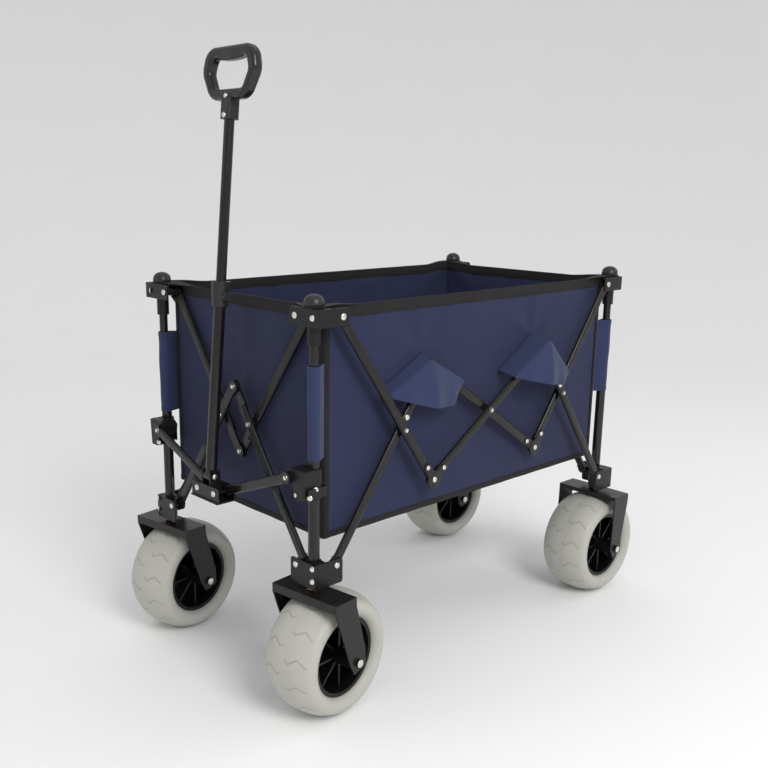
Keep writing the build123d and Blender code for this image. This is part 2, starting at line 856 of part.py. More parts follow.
# ---------------------------------------------------------------- fabric basket and floor boards
basket_x = half_x - basket_gap_x
basket_y = half_y - basket_gap_y
with BuildPart() as basket:
    block((-basket_x, -basket_y, basket_bottom), (basket_x, basket_y, basket_rim))
    block(
        (-basket_x + fabric, -basket_y + fabric, basket_bottom + fabric),
        (basket_x - fabric, basket_y - fabric, basket_rim + fabric),
        Mode.SUBTRACT,
    )
    for sx, sy in corners.values():
        tab_low = basket_rim - tab_thickness
        rod((sx * half_x, sy * half_y, tab_low), (0, 0, 1), tab_radius, tab_thickness)
        block(
            (sx * (basket_x - fabric), sy * (basket_y - fabric), tab_low),
            (sx * half_x, sy * (basket_y - tab_radius), basket_rim),
        )
        eyelet = (sx * half_x, sy * half_y, tab_low)
        rod(eyelet, (0, 0, 1), upper_post_radius + loose, tab_thickness, Mode.SUBTRACT)
save(basket, "basket")

for side_name, side in (("left", 1), ("right", -1)):
    with BuildPart() as floor:
        floor_low = basket_bottom + fabric + loose
        block(
            (-basket_x + floor_margin, side * floor_gap / 2, floor_low),
            (basket_x - floor_margin, side * (basket_y - floor_margin), floor_low + floor_board),
        )
        fillet(floor.edges().filter_by(Axis.Z), radius=6)
    save(floor, f"floor_{side_name}")
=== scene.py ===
"""Looks of a folding beach cart: fabric tub, steel scissor frame, wide tyres and pull handle.

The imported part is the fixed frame. Steel, plastic and wheels keep the part's own shapes and get
their finishes here. The tub, its bindings, sleeves, hoods and boards, the tread, the caps and the
rivet heads are surfaces worked out with numpy. Lengths are in metres.
"""

import json
import logging
import math
from collections.abc import Sequence
from dataclasses import dataclass, field
from enum import Enum

import bpy
import numpy as np
from mathutils import Matrix, Vector

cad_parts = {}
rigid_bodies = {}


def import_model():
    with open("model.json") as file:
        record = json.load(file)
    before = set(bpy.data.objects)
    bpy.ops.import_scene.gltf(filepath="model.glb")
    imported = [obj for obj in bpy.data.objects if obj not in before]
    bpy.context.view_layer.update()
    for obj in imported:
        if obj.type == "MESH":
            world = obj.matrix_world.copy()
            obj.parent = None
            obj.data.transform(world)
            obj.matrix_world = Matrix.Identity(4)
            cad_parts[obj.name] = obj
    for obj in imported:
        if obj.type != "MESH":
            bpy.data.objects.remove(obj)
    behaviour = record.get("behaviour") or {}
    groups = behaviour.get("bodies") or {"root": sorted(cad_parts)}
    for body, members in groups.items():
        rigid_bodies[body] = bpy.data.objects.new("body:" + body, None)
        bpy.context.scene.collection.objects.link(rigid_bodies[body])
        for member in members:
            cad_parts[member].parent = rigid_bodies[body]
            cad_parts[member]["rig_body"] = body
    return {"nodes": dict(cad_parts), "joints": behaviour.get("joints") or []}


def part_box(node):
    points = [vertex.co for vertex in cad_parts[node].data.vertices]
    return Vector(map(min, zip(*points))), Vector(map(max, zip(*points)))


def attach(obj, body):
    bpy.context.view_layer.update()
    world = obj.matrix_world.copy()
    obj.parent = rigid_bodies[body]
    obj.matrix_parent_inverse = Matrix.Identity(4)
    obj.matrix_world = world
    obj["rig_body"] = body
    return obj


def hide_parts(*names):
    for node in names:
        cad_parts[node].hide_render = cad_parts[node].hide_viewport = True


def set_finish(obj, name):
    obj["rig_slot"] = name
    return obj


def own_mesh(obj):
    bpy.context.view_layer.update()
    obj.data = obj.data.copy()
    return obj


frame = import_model()

LOG = logging.getLogger("beach_cart")
Rgb = tuple[float, float, float]


class Side(Enum):
    """The four walls of the tub, as the direction each one faces."""

    LEFT = (0.0, 1.0)
    RIGHT = (0.0, -1.0)
    FRONT = (1.0, 0.0)
    REAR = (-1.0, 0.0)


class Corner(Enum):
    """The four posts, as the signs of their places along the cart and across it."""

    FRONT_LEFT = (1.0, 1.0)
    FRONT_RIGHT = (1.0, -1.0)
    REAR_LEFT = (-1.0, 1.0)
    REAR_RIGHT = (-1.0, -1.0)

    @property
    def label(self) -> str:
        """The corner's name as the part writes it."""
        return self.name.lower()


@dataclass(frozen=True)
class Linkage:
    """Where the posts stand and where the scissor bars are pinned."""

    post_x: float = 0.424
    post_y: float = 0.2285
    side_pin_x: float = 0.390
    end_pin_y: float = 0.1985
    joint_x: float = 0.160
    valley: float = 0.3896
    peak: float = 0.6024
    end_valley: float = 0.4337
    bottom_pin: float = 0.280
    top_pin: float = 0.712


LINKAGE = Linkage()


# ------------------------------------------------------------------------------ surfaces


def smooth_step(value: np.ndarray) -> np.ndarray:
    """Eases 0..1 with level ends: three times the square less twice the cube.

    Args:
        value: Any numbers, held to 0..1 first.

    Returns:
        The eased numbers.
    """
    held = np.clip(value, 0.0, 1.0)
    return held * held * (3.0 - 2.0 * held)


def grid_quads(rows: int, cols: int, wrap_rows: bool = False, wrap_cols: bool = False) -> np.ndarray:
    """Four-cornered faces of a grid of points numbered row by row.

    Args:
        rows: Number of rows.
        cols: Number of columns.
        wrap_rows: Whether the last row joins the first.
        wrap_cols: Whether the last column joins the first.

    Returns:
        One row of four point numbers for each face.
    """
    i, j = np.meshgrid(
        np.arange(rows if wrap_rows else rows - 1),
        np.arange(cols if wrap_cols else cols - 1),
        indexing="ij",
    )
    i, j = i.ravel(), j.ravel()
    i_next, j_next = (i + 1) % rows, (j + 1) % cols
    corners = (i * cols + j, i * cols + j_next, i_next * cols + j_next, i_next * cols + j)
    return np.stack(corners, axis=1)


def run_length(points: np.ndarray) -> np.ndarray:
    """Distance walked along a line of points, starting at zero.

    Args:
        points: The line, one point to a row.

    Returns:
        One distance for each point.
    """
    steps = np.linalg.norm(np.diff(points, axis=0), axis=1)
    return np.concatenate(([0.0], np.cumsum(steps)))


def resample(points: np.ndarray, count: int) -> np.ndarray:
    """The same line with evenly spaced points.

    Args:
        points: The line, one point to a row.
        count: How many points to put on it.

    Returns:
        The new points.
    """
    at = run_length(points)
    wanted = np.linspace(0.0, at[-1], count)
    return np.stack([np.interp(wanted, at, column) for column in points.T], axis=1)


@dataclass
class Shape:
    """A closed surface: its points, its faces, a map in metres and an optional mark on each point."""

    points: np.ndarray
    faces: list[np.ndarray]
    chart: np.ndarray
    mark: np.ndarray | None = None

    def volume(self) -> float:
        """Signed volume: a sixth of the sum of corner products over each face cut into a fan."""
        total = 0.0
        for group in self.faces:
            for k in range(1, group.shape[1] - 1):
                a, b, c = (self.points[group[:, n]] for n in (0, k, k + 1))
                total += float(np.einsum("ij,ij->", a, np.cross(b, c)))
        return total / 6.0

    def outward(self) -> "Shape":
        """Turns the faces round if they look inwards, and returns the shape."""
        if self.volume() < 0.0:
            self.faces = [group[:, ::-1] for group in self.faces]
        return self


def joined(shapes: Sequence[Shape]) -> Shape:
    """Several shapes as one.

    Args:
        shapes: The shapes, each closed by itself.

    Returns:
        One shape that holds all their points and faces.
    """
    faces: list[np.ndarray] = []
    start = 0
    for shape in shapes:
        faces += [group + start for group in shape.faces]
        start += len(shape.points)
    points = np.concatenate([shape.points for shape in shapes])
    return Shape(points, faces, np.concatenate([shape.chart for shape in shapes]))


def cloth_shape(grid: np.ndarray, thickness: float, around: bool = False) -> Shape:
    """A closed cloth: every grid point goes half the thickness to both sides along the surface's normal.

    Args:
        grid: Points of the cloth's middle, rows by columns by 3.
        thickness: The cloth's thickness.
        around: Whether the last column joins the first, as in a sleeve.

    Returns:
        The closed shape, with its map laid along the rows and columns.
    """
    rows, cols = grid.shape[:2]
    across = (np.roll(grid, -1, 1) - np.roll(grid, 1, 1)) if around else np.gradient(grid, axis=1)
    normal = np.cross(across, np.gradient(grid, axis=0))
    normal /= np.maximum(np.linalg.norm(normal, axis=2, keepdims=True), 1e-12)
    layers = [(grid + normal * side * thickness / 2.0).reshape(-1, 3) for side in (1.0, -1.0)]
    size = rows * cols
    outer = grid_quads(rows, cols, wrap_cols=around)
    j = np.arange(cols if around else cols - 1)
    j_next = (j + 1) % cols
    top = (rows - 1) * cols
    rims = [
        np.stack((j_next, j, j + size, j_next + size), axis=1),
        np.stack((top + j, top + j_next, top + j_next + size, top + j + size), axis=1),
    ]
    if not around:
        i = np.arange(rows - 1) * cols
        k = i + cols - 1
        rims.append(np.stack((i, i + cols, i + cols + size, i + size), axis=1))
        rims.append(np.stack((k + cols, k, k + size, k + cols + size), axis=1))
    u = run_length(grid[rows // 2])
    v = run_length(grid[:, cols // 2])
    chart = np.stack(np.meshgrid(u, v), axis=2).reshape(-1, 2)
    faces = [outer, outer[:, ::-1] + size, *rims]
    return Shape(np.concatenate(layers), faces, np.concatenate([chart, chart])).outward()


def band_shape(path: np.ndarray, side: np.ndarray, rise: np.ndarray, profile: np.ndarray) -> Shape:
    """A profile carried along a path: point = path + side * profile's first + rise * profile's second.

    Args:
        path: The path, one point to a row.
        side: Unit directions at each path point, or one for all.
        rise: Unit directions at each path point, or one for all.
        profile: The closed outline, one pair to a row.

    Returns:
        The closed band, with a fan over each end.
    """
    count, ring = len(path), len(profile)
    side = np.broadcast_to(side, path.shape)[:, None, :]
    rise = np.broadcast_to(rise, path.shape)[:, None, :]
    grid = path[:, None, :] + side * profile[None, :, :1] + rise * profile[None, :, 1:]
    ends = np.stack([grid[0].mean(axis=0), grid[-1].mean(axis=0)])
    points = np.concatenate([grid.reshape(-1, 3), ends])
    j = np.arange(ring)
    j_next = (j + 1) % ring
    size, last = count * ring, (count - 1) * ring
    fans = [
        np.stack((np.full(ring, size), j_next, j), axis=1),
        np.stack((np.full(ring, size + 1), last + j, last + j_next), axis=1),
    ]
    chart = np.stack(np.meshgrid(run_length(profile), run_length(path)), axis=2)[:, :, ::-1]
    chart = np.concatenate([chart.reshape(-1, 2), np.zeros((2, 2))])
    return Shape(points, [grid_quads(count, ring, wrap_cols=True), *fans], chart).outward()


def turned_shape(profile: np.ndarray, centre: Vector, axis: Vector, segments: int) -> Shape:
    """A profile of radius and height turned about an axis: point = centre + axis * height + spoke * radius.

    Args:
        profile: Radius and height, from one pole on the axis to the other.
        centre: Where height is zero.
        axis: Direction of height.
        segments: Number of steps round the axis.

    Returns:
        The closed solid of revolution. Its poles are merged when it is made a mesh.
    """
    turn = np.array(axis.normalized().to_track_quat("Z", "Y").to_matrix())
    angle = np.linspace(0.0, 2.0 * math.pi, segments, endpoint=False)[:, None]
    radius, height = profile[None, :, 0], profile[None, :, 1]
    local = np.stack([radius * np.cos(angle), radius * np.sin(angle), height + 0.0 * angle], axis=2)
    points = local.reshape(-1, 3) @ turn.T + np.array(centre)
    along = np.broadcast_to(run_length(profile)[None, :], local.shape[:2])
    chart = np.stack([angle * profile[:, 0].max() + 0.0 * along, along], axis=2).reshape(-1, 2)
    return Shape(points, [grid_quads(segments, len(profile), wrap_rows=True)], chart).outward()


def rounded_box_outline(half_width: float, half_height: float, radius: float, steps: int = 5) -> np.ndarray:
    """Outline of a rectangle whose corners are quarter circles.

    Args:
        half_width: Half its first measure.
        half_height: Half its second measure.
        radius: Corner radius.
        steps: Points on each quarter circle.

    Returns:
        The outline, one pair to a row.
    """
    quarter = np.linspace(0.0, math.pi / 2.0, steps)
    turns = np.arange(4) * math.pi / 2.0
    angle = (turns[:, None] + quarter[None, :]).ravel()
    corner = np.repeat([[1, 1], [-1, 1], [-1, -1], [1, -1]], steps, axis=0)
    inner = corner * np.array([half_width - radius, half_height - radius])
    return inner + radius * np.stack([np.cos(angle), np.sin(angle)], axis=1)


def arc_through(
    start: Sequence[float], middle: Sequence[float], end: Sequence[float], count: int
) -> np.ndarray:
    """Points of the circle through three points: its centre is where two perpendicular bisectors meet.

    Args:
        start: First point.
        middle: A point in between.
        end: Last point.
        count: How many points to give.

    Returns:
        The points from start to end, one pair to a row.
    """
    a, b, c = (np.array(point, float) for point in (start, middle, end))
    centre = np.linalg.solve(2.0 * np.stack([b - a, c - a]), [b @ b - a @ a, c @ c - a @ a])
    angles = np.unwrap([math.atan2(*(p - centre)[::-1]) for p in (a, b, c)])
    angle = np.linspace(angles[0], angles[2], count)
    return centre + np.linalg.norm(a - centre) * np.stack([np.cos(angle), np.sin(angle)], axis=1)


def build(
    name: str, shape: Shape, material: bpy.types.Material, slot: str, sharp: float = 40.0
) -> bpy.types.Object:
    """Puts a shape into the scene as a mesh at the origin.

    Args:
        name: The piece's name.
        shape: What to build.
        material: Its finish.
        slot: The record's material slot that the piece takes its finish from.
        sharp: Edges that turn by more than this many degrees stay crisp.

    Returns:
        The new object.
    """
    mesh = bpy.data.meshes.new(name)
    corners = np.concatenate([group.ravel() for group in shape.faces])
    sizes = np.concatenate([np.full(len(group), group.shape[1]) for group in shape.faces])
    starts = np.concatenate(([0], np.cumsum(sizes)[:-1]))
    mesh.vertices.add(len(shape.points))
    mesh.vertices.foreach_set("co", shape.points.astype(np.float32).ravel())
    mesh.loops.add(len(corners))
    mesh.loops.foreach_set("vertex_index", corners.astype(np.int32))
    mesh.polygons.add(len(sizes))
    mesh.polygons.foreach_set("loop_start", starts.astype(np.int32))
    mesh.polygons.foreach_set("loop_total", sizes.astype(np.int32))
    mesh.update(calc_edges=True)
    layer = mesh.uv_layers.new(name="chart")
    layer.data.foreach_set("uv", shape.chart[corners].astype(np.float32).ravel())
    if shape.mark is not None:
        mark = mesh.attributes.new("mark", "FLOAT", "POINT")
        mark.data.foreach_set("value", shape.mark.astype(np.float32))
    mesh.validate()
    merge_poles(mesh)
    mesh.shade_smooth()
    mesh.set_sharp_from_angle(angle=math.radians(sharp))
    mesh.materials.append(material)
    piece = bpy.data.objects.new(name, mesh)
    bpy.context.scene.collection.objects.link(piece)
    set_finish(piece, slot)
    LOG.info("built %s with %d faces", name, len(mesh.polygons))
    return piece


def merge_poles(mesh: bpy.types.Mesh) -> None:
    """Merges the points of a mesh that lie on one another.

    Args:
        mesh: The mesh to close.
    """
    import bmesh

    work = bmesh.new()
    work.from_mesh(mesh)
    bmesh.ops.remove_doubles(work, verts=work.verts, dist=1e-6)
    work.to_mesh(mesh)
    work.free()


# ------------------------------------------------------------------------------ finishes


class Nodes:
    """Adds and links nodes in one shader tree."""

    def __init__(self, tree: bpy.types.NodeTree) -> None:
        """Keeps the tree."""
        self.tree = tree

    def add(self, kind: str, *inputs: object, **settings: object) -> bpy.types.Node:
        """Adds a node.

        Args:
            kind: Its type, without the leading word ShaderNode.
            inputs: A value or an output for each of its sockets in order, or None to leave one alone.
            settings: Its properties.

        Returns:
            The new node.
        """
        node = self.tree.nodes.new(f"ShaderNode{kind}")
        for key, value in settings.items():
            setattr(node, key, value)
        for socket, value in zip(node.inputs, inputs):
            self.feed(socket, value)
        return node

    def feed(self, socket: bpy.types.NodeSocket, value: object) -> None:
        """Sets a socket to a value, or links an output to it.

        Args:
            socket: The input.
            value: A number, colour or vector, an output socket, or None to leave it alone.
        """
        if isinstance(value, bpy.types.NodeSocket):
            self.tree.links.new(value, socket)
        elif value is not None:
            socket.default_value = value

    def maths(self, operation: str, first: object, second: object = None) -> bpy.types.NodeSocket:
        """The output of one maths node."""
        return self.add("Math", first, second, operation=operation).outputs[0]

    def blend(self, share: object, first: object, second: object) -> bpy.types.NodeSocket:
        """The output of a colour mix of two colours by a share."""
        node = self.add("Mix", data_type="RGBA")
        for index, value in ((0, share), (6, first), (7, second)):
            self.feed(node.inputs[index], value)
        return node.outputs[2]


def new_group(
    name: str, takes: dict[str, str], gives: dict[str, str]
) -> tuple[bpy.types.NodeTree, Nodes, dict, dict]:
    """Starts a shader node group with named sockets.

    Args:
        name: The group's name.
        takes: Name and kind of each input.
        gives: Name and kind of each output.

    Returns:
        The tree, its node helper, its inputs by name and the sockets to feed by name.
    """
    tree = bpy.data.node_groups.new(name, "ShaderNodeTree")
    for sockets, way in ((takes, "INPUT"), (gives, "OUTPUT")):
        for label, kind in sockets.items():
            tree.interface.new_socket(label, in_out=way, socket_type=f"NodeSocket{kind}")
    source = tree.nodes.new("NodeGroupInput")
    sink = tree.nodes.new("NodeGroupOutput")
    return tree, Nodes(tree), {s.name: s for s in source.outputs}, {s.name: s for s in sink.inputs}


def grain_group() -> bpy.types.NodeTree:
    """Fine skin, handling marks and settled dust of a coated or moulded surface.

    Height is a fine noise. Dust is a broad noise that is stronger on faces that look up. Roughness
    is its middle value plus a spread times a middle-sized noise.

    Returns:
        The node group.
    """
    tree, n, take, give = new_group(
        "surface_grain",
        {"Place": "Vector", "Colour": "Color", "Dust Colour": "Color", "Dust": "Float", "Grain": "Float",
         "Roughness": "Float", "Spread": "Float"},
        {"Colour": "Color", "Roughness": "Float", "Height": "Float"},
    )
    broad = n.add("TexNoise", take["Place"], None, 14.0, 3.0, 0.6).outputs[0]
    fine = n.add("TexNoise", take["Place"], None, take["Grain"], 2.0, 0.5).outputs[0]
    rub = n.add("TexNoise", take["Place"], None, 90.0, 4.0, 0.7).outputs[0]
    up = n.add("SeparateXYZ", n.add("NewGeometry").outputs["Normal"]).outputs[2]
    facing = n.maths("MULTIPLY_ADD", up, 0.35)
    facing.node.inputs[2].default_value = 0.65
    patch = n.maths("MULTIPLY", n.maths("MULTIPLY", broad, rub), facing)
    share = n.maths("MULTIPLY", patch, take["Dust"])
    n.feed(give["Colour"], n.blend(share, take["Colour"], take["Dust Colour"]))
    swing = n.maths("MULTIPLY", n.maths("SUBTRACT", rub, 0.5), take["Spread"])
    n.feed(give["Roughness"], n.maths("ADD", take["Roughness"], swing))
    n.feed(give["Height"], fine)
    return tree


def weave_group() -> bpy.types.NodeTree:
    """Basket weave: warp and weft ridges that pass over and under each other like a chequerboard.

    Height is the absolute sine across a thread, taken from the warp on one colour of the chequer
    and from the weft on the other. Colour goes from the valley's to the thread's with height, so the
    valleys between threads carry painted shade, and a broad noise shifts it a little at random.

    Returns:
        The node group.
    """
    tree, n, take, give = new_group(
        "woven_threads",
        {"Chart": "Vector", "Threads": "Float", "Thread": "Color", "Valley": "Color", "Cloud": "Float"},
        {"Colour": "Color", "Height": "Float"},
    )
    scaled = n.add("VectorMath", take["Chart"], operation="SCALE")
    n.feed(scaled.inputs["Scale"], take["Threads"])
    parts = n.add("SeparateXYZ", scaled.outputs[0])
    ridges = [
        n.maths("ABSOLUTE", n.maths("SINE", n.maths("MULTIPLY", parts.outputs[k], math.pi))) for k in (0, 1)
    ]
    over = n.add("TexChecker", scaled.outputs[0], None, None, 1.0).outputs[1]
    height = n.add("Mix", over, None, ridges[0], ridges[1]).outputs[0]
    cloud = n.add("TexNoise", take["Chart"], None, 9.0, 4.0, 0.6).outputs[0]
    shade = n.maths("ADD", n.maths("MULTIPLY", height, 0.75), n.maths("MULTIPLY", cloud, take["Cloud"]))
    # painted shade: the darker valley colour between the threads stands in for their shadow
    n.feed(give["Colour"], n.blend(shade, take["Valley"], take["Thread"]))
    n.feed(give["Height"], height)
    return tree


GROUPS: dict[str, bpy.types.NodeTree] = {}


def group(name: str) -> bpy.types.NodeTree:
    """The shared group of that name, built the first time it is asked for."""
    makers = {"grain": grain_group, "weave": weave_group}
    if name not in GROUPS:
        GROUPS[name] = makers[name]()
    return GROUPS[name]


def start_material(name: str) -> tuple[bpy.types.Material, Nodes, bpy.types.Node]:
    """A new material with its tree cleared but for one Principled shader.

    Args:
        name: The material's name.

    Returns:
        The material, its node helper and the shader.
    """
    material = bpy.data.materials.new(name)
    material.use_nodes = True
    n = Nodes(material.node_tree)
    material.node_tree.nodes.clear()
    shader = n.add("BsdfPrincipled")
    n.add("OutputMaterial", shader.outputs[0])
    return material, n, shader


@dataclass(frozen=True)
class Coated:
    """A powder-coated, plated or moulded finish: one colour with grain, dust and rounded edges."""

    name: str
    colour: Rgb
    roughness: float
    dust: float = 0.03
    dust_colour: Rgb = (0.06, 0.054, 0.05)
    spread: float = 0.25
    grain: float = 1800.0
    bump: float = 0.04
    metallic: float = 0.0
    specular: float = 0.5
    coat: float = 0.0
    edge: float = 0.0008

    def material(self) -> bpy.types.Material:
        """Builds the finish's material from the shared grain group."""
        material, n, shader = start_material(self.name)
        place = n.add("TexCoord").outputs["Object"]
        grain = n.add("Group", node_tree=group("grain"))
        values = (place, (*self.colour, 1.0), (*self.dust_colour, 1.0), self.dust, self.grain,
                  self.roughness, self.spread)
        for socket, value in zip(grain.inputs, values):
            n.feed(socket, value)
        n.feed(shader.inputs["Base Color"], grain.outputs["Colour"])
        n.feed(shader.inputs["Roughness"], grain.outputs["Roughness"])
        shader.inputs["Metallic"].default_value = self.metallic
        shader.inputs["Specular IOR Level"].default_value = self.specular
        shader.inputs["Coat Weight"].default_value = self.coat
        shader.inputs["Coat Roughness"].default_value = 0.25
        rounding = n.add("Bevel", self.edge, samples=6)
        bump = n.add("Bump")
        bump.inputs["Strength"].default_value = self.bump
        bump.inputs["Distance"].default_value = 0.001
        n.feed(bump.inputs["Height"], grain.outputs["Height"])
        n.feed(bump.inputs["Normal"], rounding.outputs[0])
        n.feed(shader.inputs["Normal"], bump.outputs[0])
        return material


@dataclass(frozen=True)
class Woven:
    """A woven cloth or webbing, with its threads laid along the piece's own map; its valley colour is painted
    shade between the threads.
    """

    name: str
    thread: Rgb
    valley: Rgb
    threads: float = 620.0
    cloud: float = 0.5
    bump: float = 0.35
    roughness: float = 0.78
    sheen: float = 0.35
    stitch_rows: tuple[float, ...] = ()
    stitch_colour: Rgb = (0.022, 0.022, 0.025)

    def material(self) -> bpy.types.Material:
        """Builds the cloth's material from the shared weave group, with its stitching over it."""
        material, n, shader = start_material(self.name)
        chart = n.add("UVMap", uv_map="chart").outputs[0]
        weave = n.add("Group", node_tree=group("weave"))
        values = (chart, self.threads, (*self.thread, 1.0), (*self.valley, 1.0), self.cloud)
        for socket, value in zip(weave.inputs, values):
            n.feed(socket, value)
        colour, height = weave.outputs["Colour"], weave.outputs["Height"]
        if self.stitch_rows:
            mask = self.stitches(n, chart)
            colour = n.blend(mask, colour, (*self.stitch_colour, 1.0))
            height = n.maths("ADD", height, n.maths("MULTIPLY", mask, 2.0))
        n.feed(shader.inputs["Base Color"], colour)
        shader.inputs["Roughness"].default_value = self.roughness
        shader.inputs["Sheen Weight"].default_value = self.sheen
        shader.inputs["Sheen Roughness"].default_value = 0.5
        shader.inputs["Specular IOR Level"].default_value = 0.25
        bump = n.add("Bump")
        bump.inputs["Strength"].default_value = self.bump
        bump.inputs["Distance"].default_value = 0.0006
        n.feed(bump.inputs["Height"], height)
        n.feed(shader.inputs["Normal"], bump.outputs[0])
        return material

    def stitches(self, n: Nodes, chart: bpy.types.NodeSocket) -> bpy.types.NodeSocket:
        """Dashes 4 mm apart along rows that lie at given distances across the piece's map.

        Args:
            n: The material's node helper.
            chart: The map's output.

        Returns:
            A mask that is 1 on the thread.
        """
        parts = n.add("SeparateXYZ", chart).outputs
        dash = n.maths("GREATER_THAN", n.maths("FRACT", n.maths("MULTIPLY", parts[0], 250.0)), 0.3)
        rows = [
            n.maths("LESS_THAN", n.maths("ABSOLUTE", n.maths("SUBTRACT", parts[1], row)), 0.00045)
            for row in self.stitch_rows
        ]
        mask = rows[0]
        for row in rows[1:]:
            mask = n.maths("MAXIMUM", mask, row)
        return n.maths("MULTIPLY", mask, dash)


@dataclass(frozen=True)
class Moulded:
    """Soft moulded tyre skin: pale, faintly mottled, with painted shade in the tread's grooves."""

    name: str
    colour: Rgb
    groove: Rgb

    def material(self) -> bpy.types.Material:
        """Builds the skin's material from the shared grain group and the tread's own mark."""
        material, n, shader = start_material(self.name)
        place = n.add("TexCoord").outputs["Object"]
        grain = n.add("Group", node_tree=group("grain"))
        values = (place, (*self.colour, 1.0), (0.40, 0.37, 0.31, 1.0), 0.3, 900.0, 0.46, 0.2)
        for socket, value in zip(grain.inputs, values):
            n.feed(socket, value)
        mark = n.add("Attribute", attribute_name="mark").outputs["Fac"]
        # painted shade: the groove colour darkens the skin where the tread's mark says a groove is
        n.feed(shader.inputs["Base Color"], n.blend(mark, grain.outputs["Colour"], (*self.groove, 1.0)))
        n.feed(shader.inputs["Roughness"], grain.outputs["Roughness"])
        shader.inputs["Specular IOR Level"].default_value = 0.4
        shader.inputs["Subsurface Weight"].default_value = 0.0
        bump = n.add("Bump")
        bump.inputs["Strength"].default_value = 0.12
        bump.inputs["Distance"].default_value = 0.001
        n.feed(bump.inputs["Height"], grain.outputs["Height"])
        n.feed(shader.inputs["Normal"], bump.outputs[0])
        return material


@dataclass
class Workshop:
    """Every finish of the cart, each made into one material."""

    bar: Coated = Coated("satin_black_bar", (0.0075, 0.0065, 0.006), 0.24, specular=0.3, coat=0.1)
    bracket: Coated = Coated("satin_black_bracket", (0.0075, 0.0068, 0.0064), 0.34, specular=0.3)
    fork: Coated = Coated(
        "powder_coated_fork", (0.0085, 0.0072, 0.0066), 0.3, specular=0.3, coat=0.1, edge=0.0012
    )
    tube: Coated = Coated(
        "gloss_black_tube", (0.0065, 0.0058, 0.0056), 0.18, dust=0.02, specular=0.35, coat=0.15
    )
    plastic: Coated = Coated(
        "textured_black_plastic", (0.0085, 0.0083, 0.0085), 0.42, grain=2600.0, bump=0.1, specular=0.3
    )
    cap: Coated = Coated(
        "dark_grey_cap", (0.018, 0.0168, 0.0168), 0.34, grain=2200.0, bump=0.08, specular=0.4
    )
    grip: Coated = Coated(
        "semi_gloss_grip", (0.0115, 0.0105, 0.0112), 0.26, dust=0.01, grain=1600.0, bump=0.03,
        specular=0.4, coat=0.15,
    )
    hub: Coated = Coated(
        "moulded_black_hub", (0.0052, 0.0048, 0.0052), 0.36, grain=1400.0, bump=0.08, specular=0.3
    )
    rivet: Coated = Coated(
        "bright_zinc_rivet", (0.74, 0.73, 0.69), 0.3, dust=0.1, metallic=1.0, grain=2400.0, edge=0.0003
    )
    washer: Coated = Coated(
        "copper_washer", (0.62, 0.27, 0.13), 0.28, dust=0.15, metallic=1.0,
        dust_colour=(0.2, 0.1, 0.06), edge=0.0003,
    )
    # the tyre skin's second colour is painted shade in the tread's grooves
    skin: Moulded = Moulded("pale_tyre_skin", (0.44, 0.435, 0.395), (0.24, 0.23, 0.21))
    # the second colour of each woven finish is painted shade in the valleys between the threads
    navy: Woven = Woven("navy_oxford_cloth", (0.0185, 0.0235, 0.069), (0.0095, 0.012, 0.036), sheen=0.08)
    # painted light: a lighter copy of the navy cloth for the sleeves and hoods, standing in for the light
    # they catch
    sleeve_cloth: Woven = Woven("navy_sleeve_cloth", (0.027, 0.037, 0.099), (0.015, 0.021, 0.056), sheen=0.1)
    binding: Woven = Woven(
        "black_binding_tape", (0.013, 0.0115, 0.0115), (0.005, 0.0045, 0.0045), threads=420.0,
        bump=0.5, sheen=0.05,
        stitch_rows=(0.0135, 0.0345),
    )
    materials: dict[str, bpy.types.Material] = field(default_factory=dict)

    def get(self, name: str) -> bpy.types.Material:
        """The material of the finish held under that name, made the first time it is asked for."""
        if name not in self.materials:
            self.materials[name] = getattr(self, name).material()
        return self.materials[name]


# ------------------------------------------------------------------------------ the frame


@dataclass
class SteelFrame:
    """Bars, posts, brackets, forks, links and handle, which keep the part's own shapes."""

    shop: Workshop
    dressing: tuple[tuple[str, str], ...] = (
        ("side_bar", "bar"), ("end_bar", "bar"), ("top_bracket", "bracket"), ("bottom_bracket", "bracket"),
        ("upper_post", "tube"), ("lower_post", "tube"), ("fork", "fork"), ("tyre", "skin"), ("hub", "hub"),
        ("link_clamp", "plastic"), ("pull_link", "tube"), ("pull_bracket", "fork"),
        ("handle_outer_tube", "tube"), ("handle_inner_tube", "tube"), ("handle_collar", "cap"),
        ("handle_grip", "grip"), ("basket", "navy"), ("floor", "navy"),
    )

    def dress(self) -> None:
        """Gives each of the part's nodes the finish that its name asks for."""
        for name, node in frame["nodes"].items():
            finish = next(look for start, look in self.dressing if name.startswith(start))
            node.data.materials.clear()
            node.data.materials.append(self.shop.get(finish))
        LOG.info("dressed %d nodes of the part", len(frame["nodes"]))


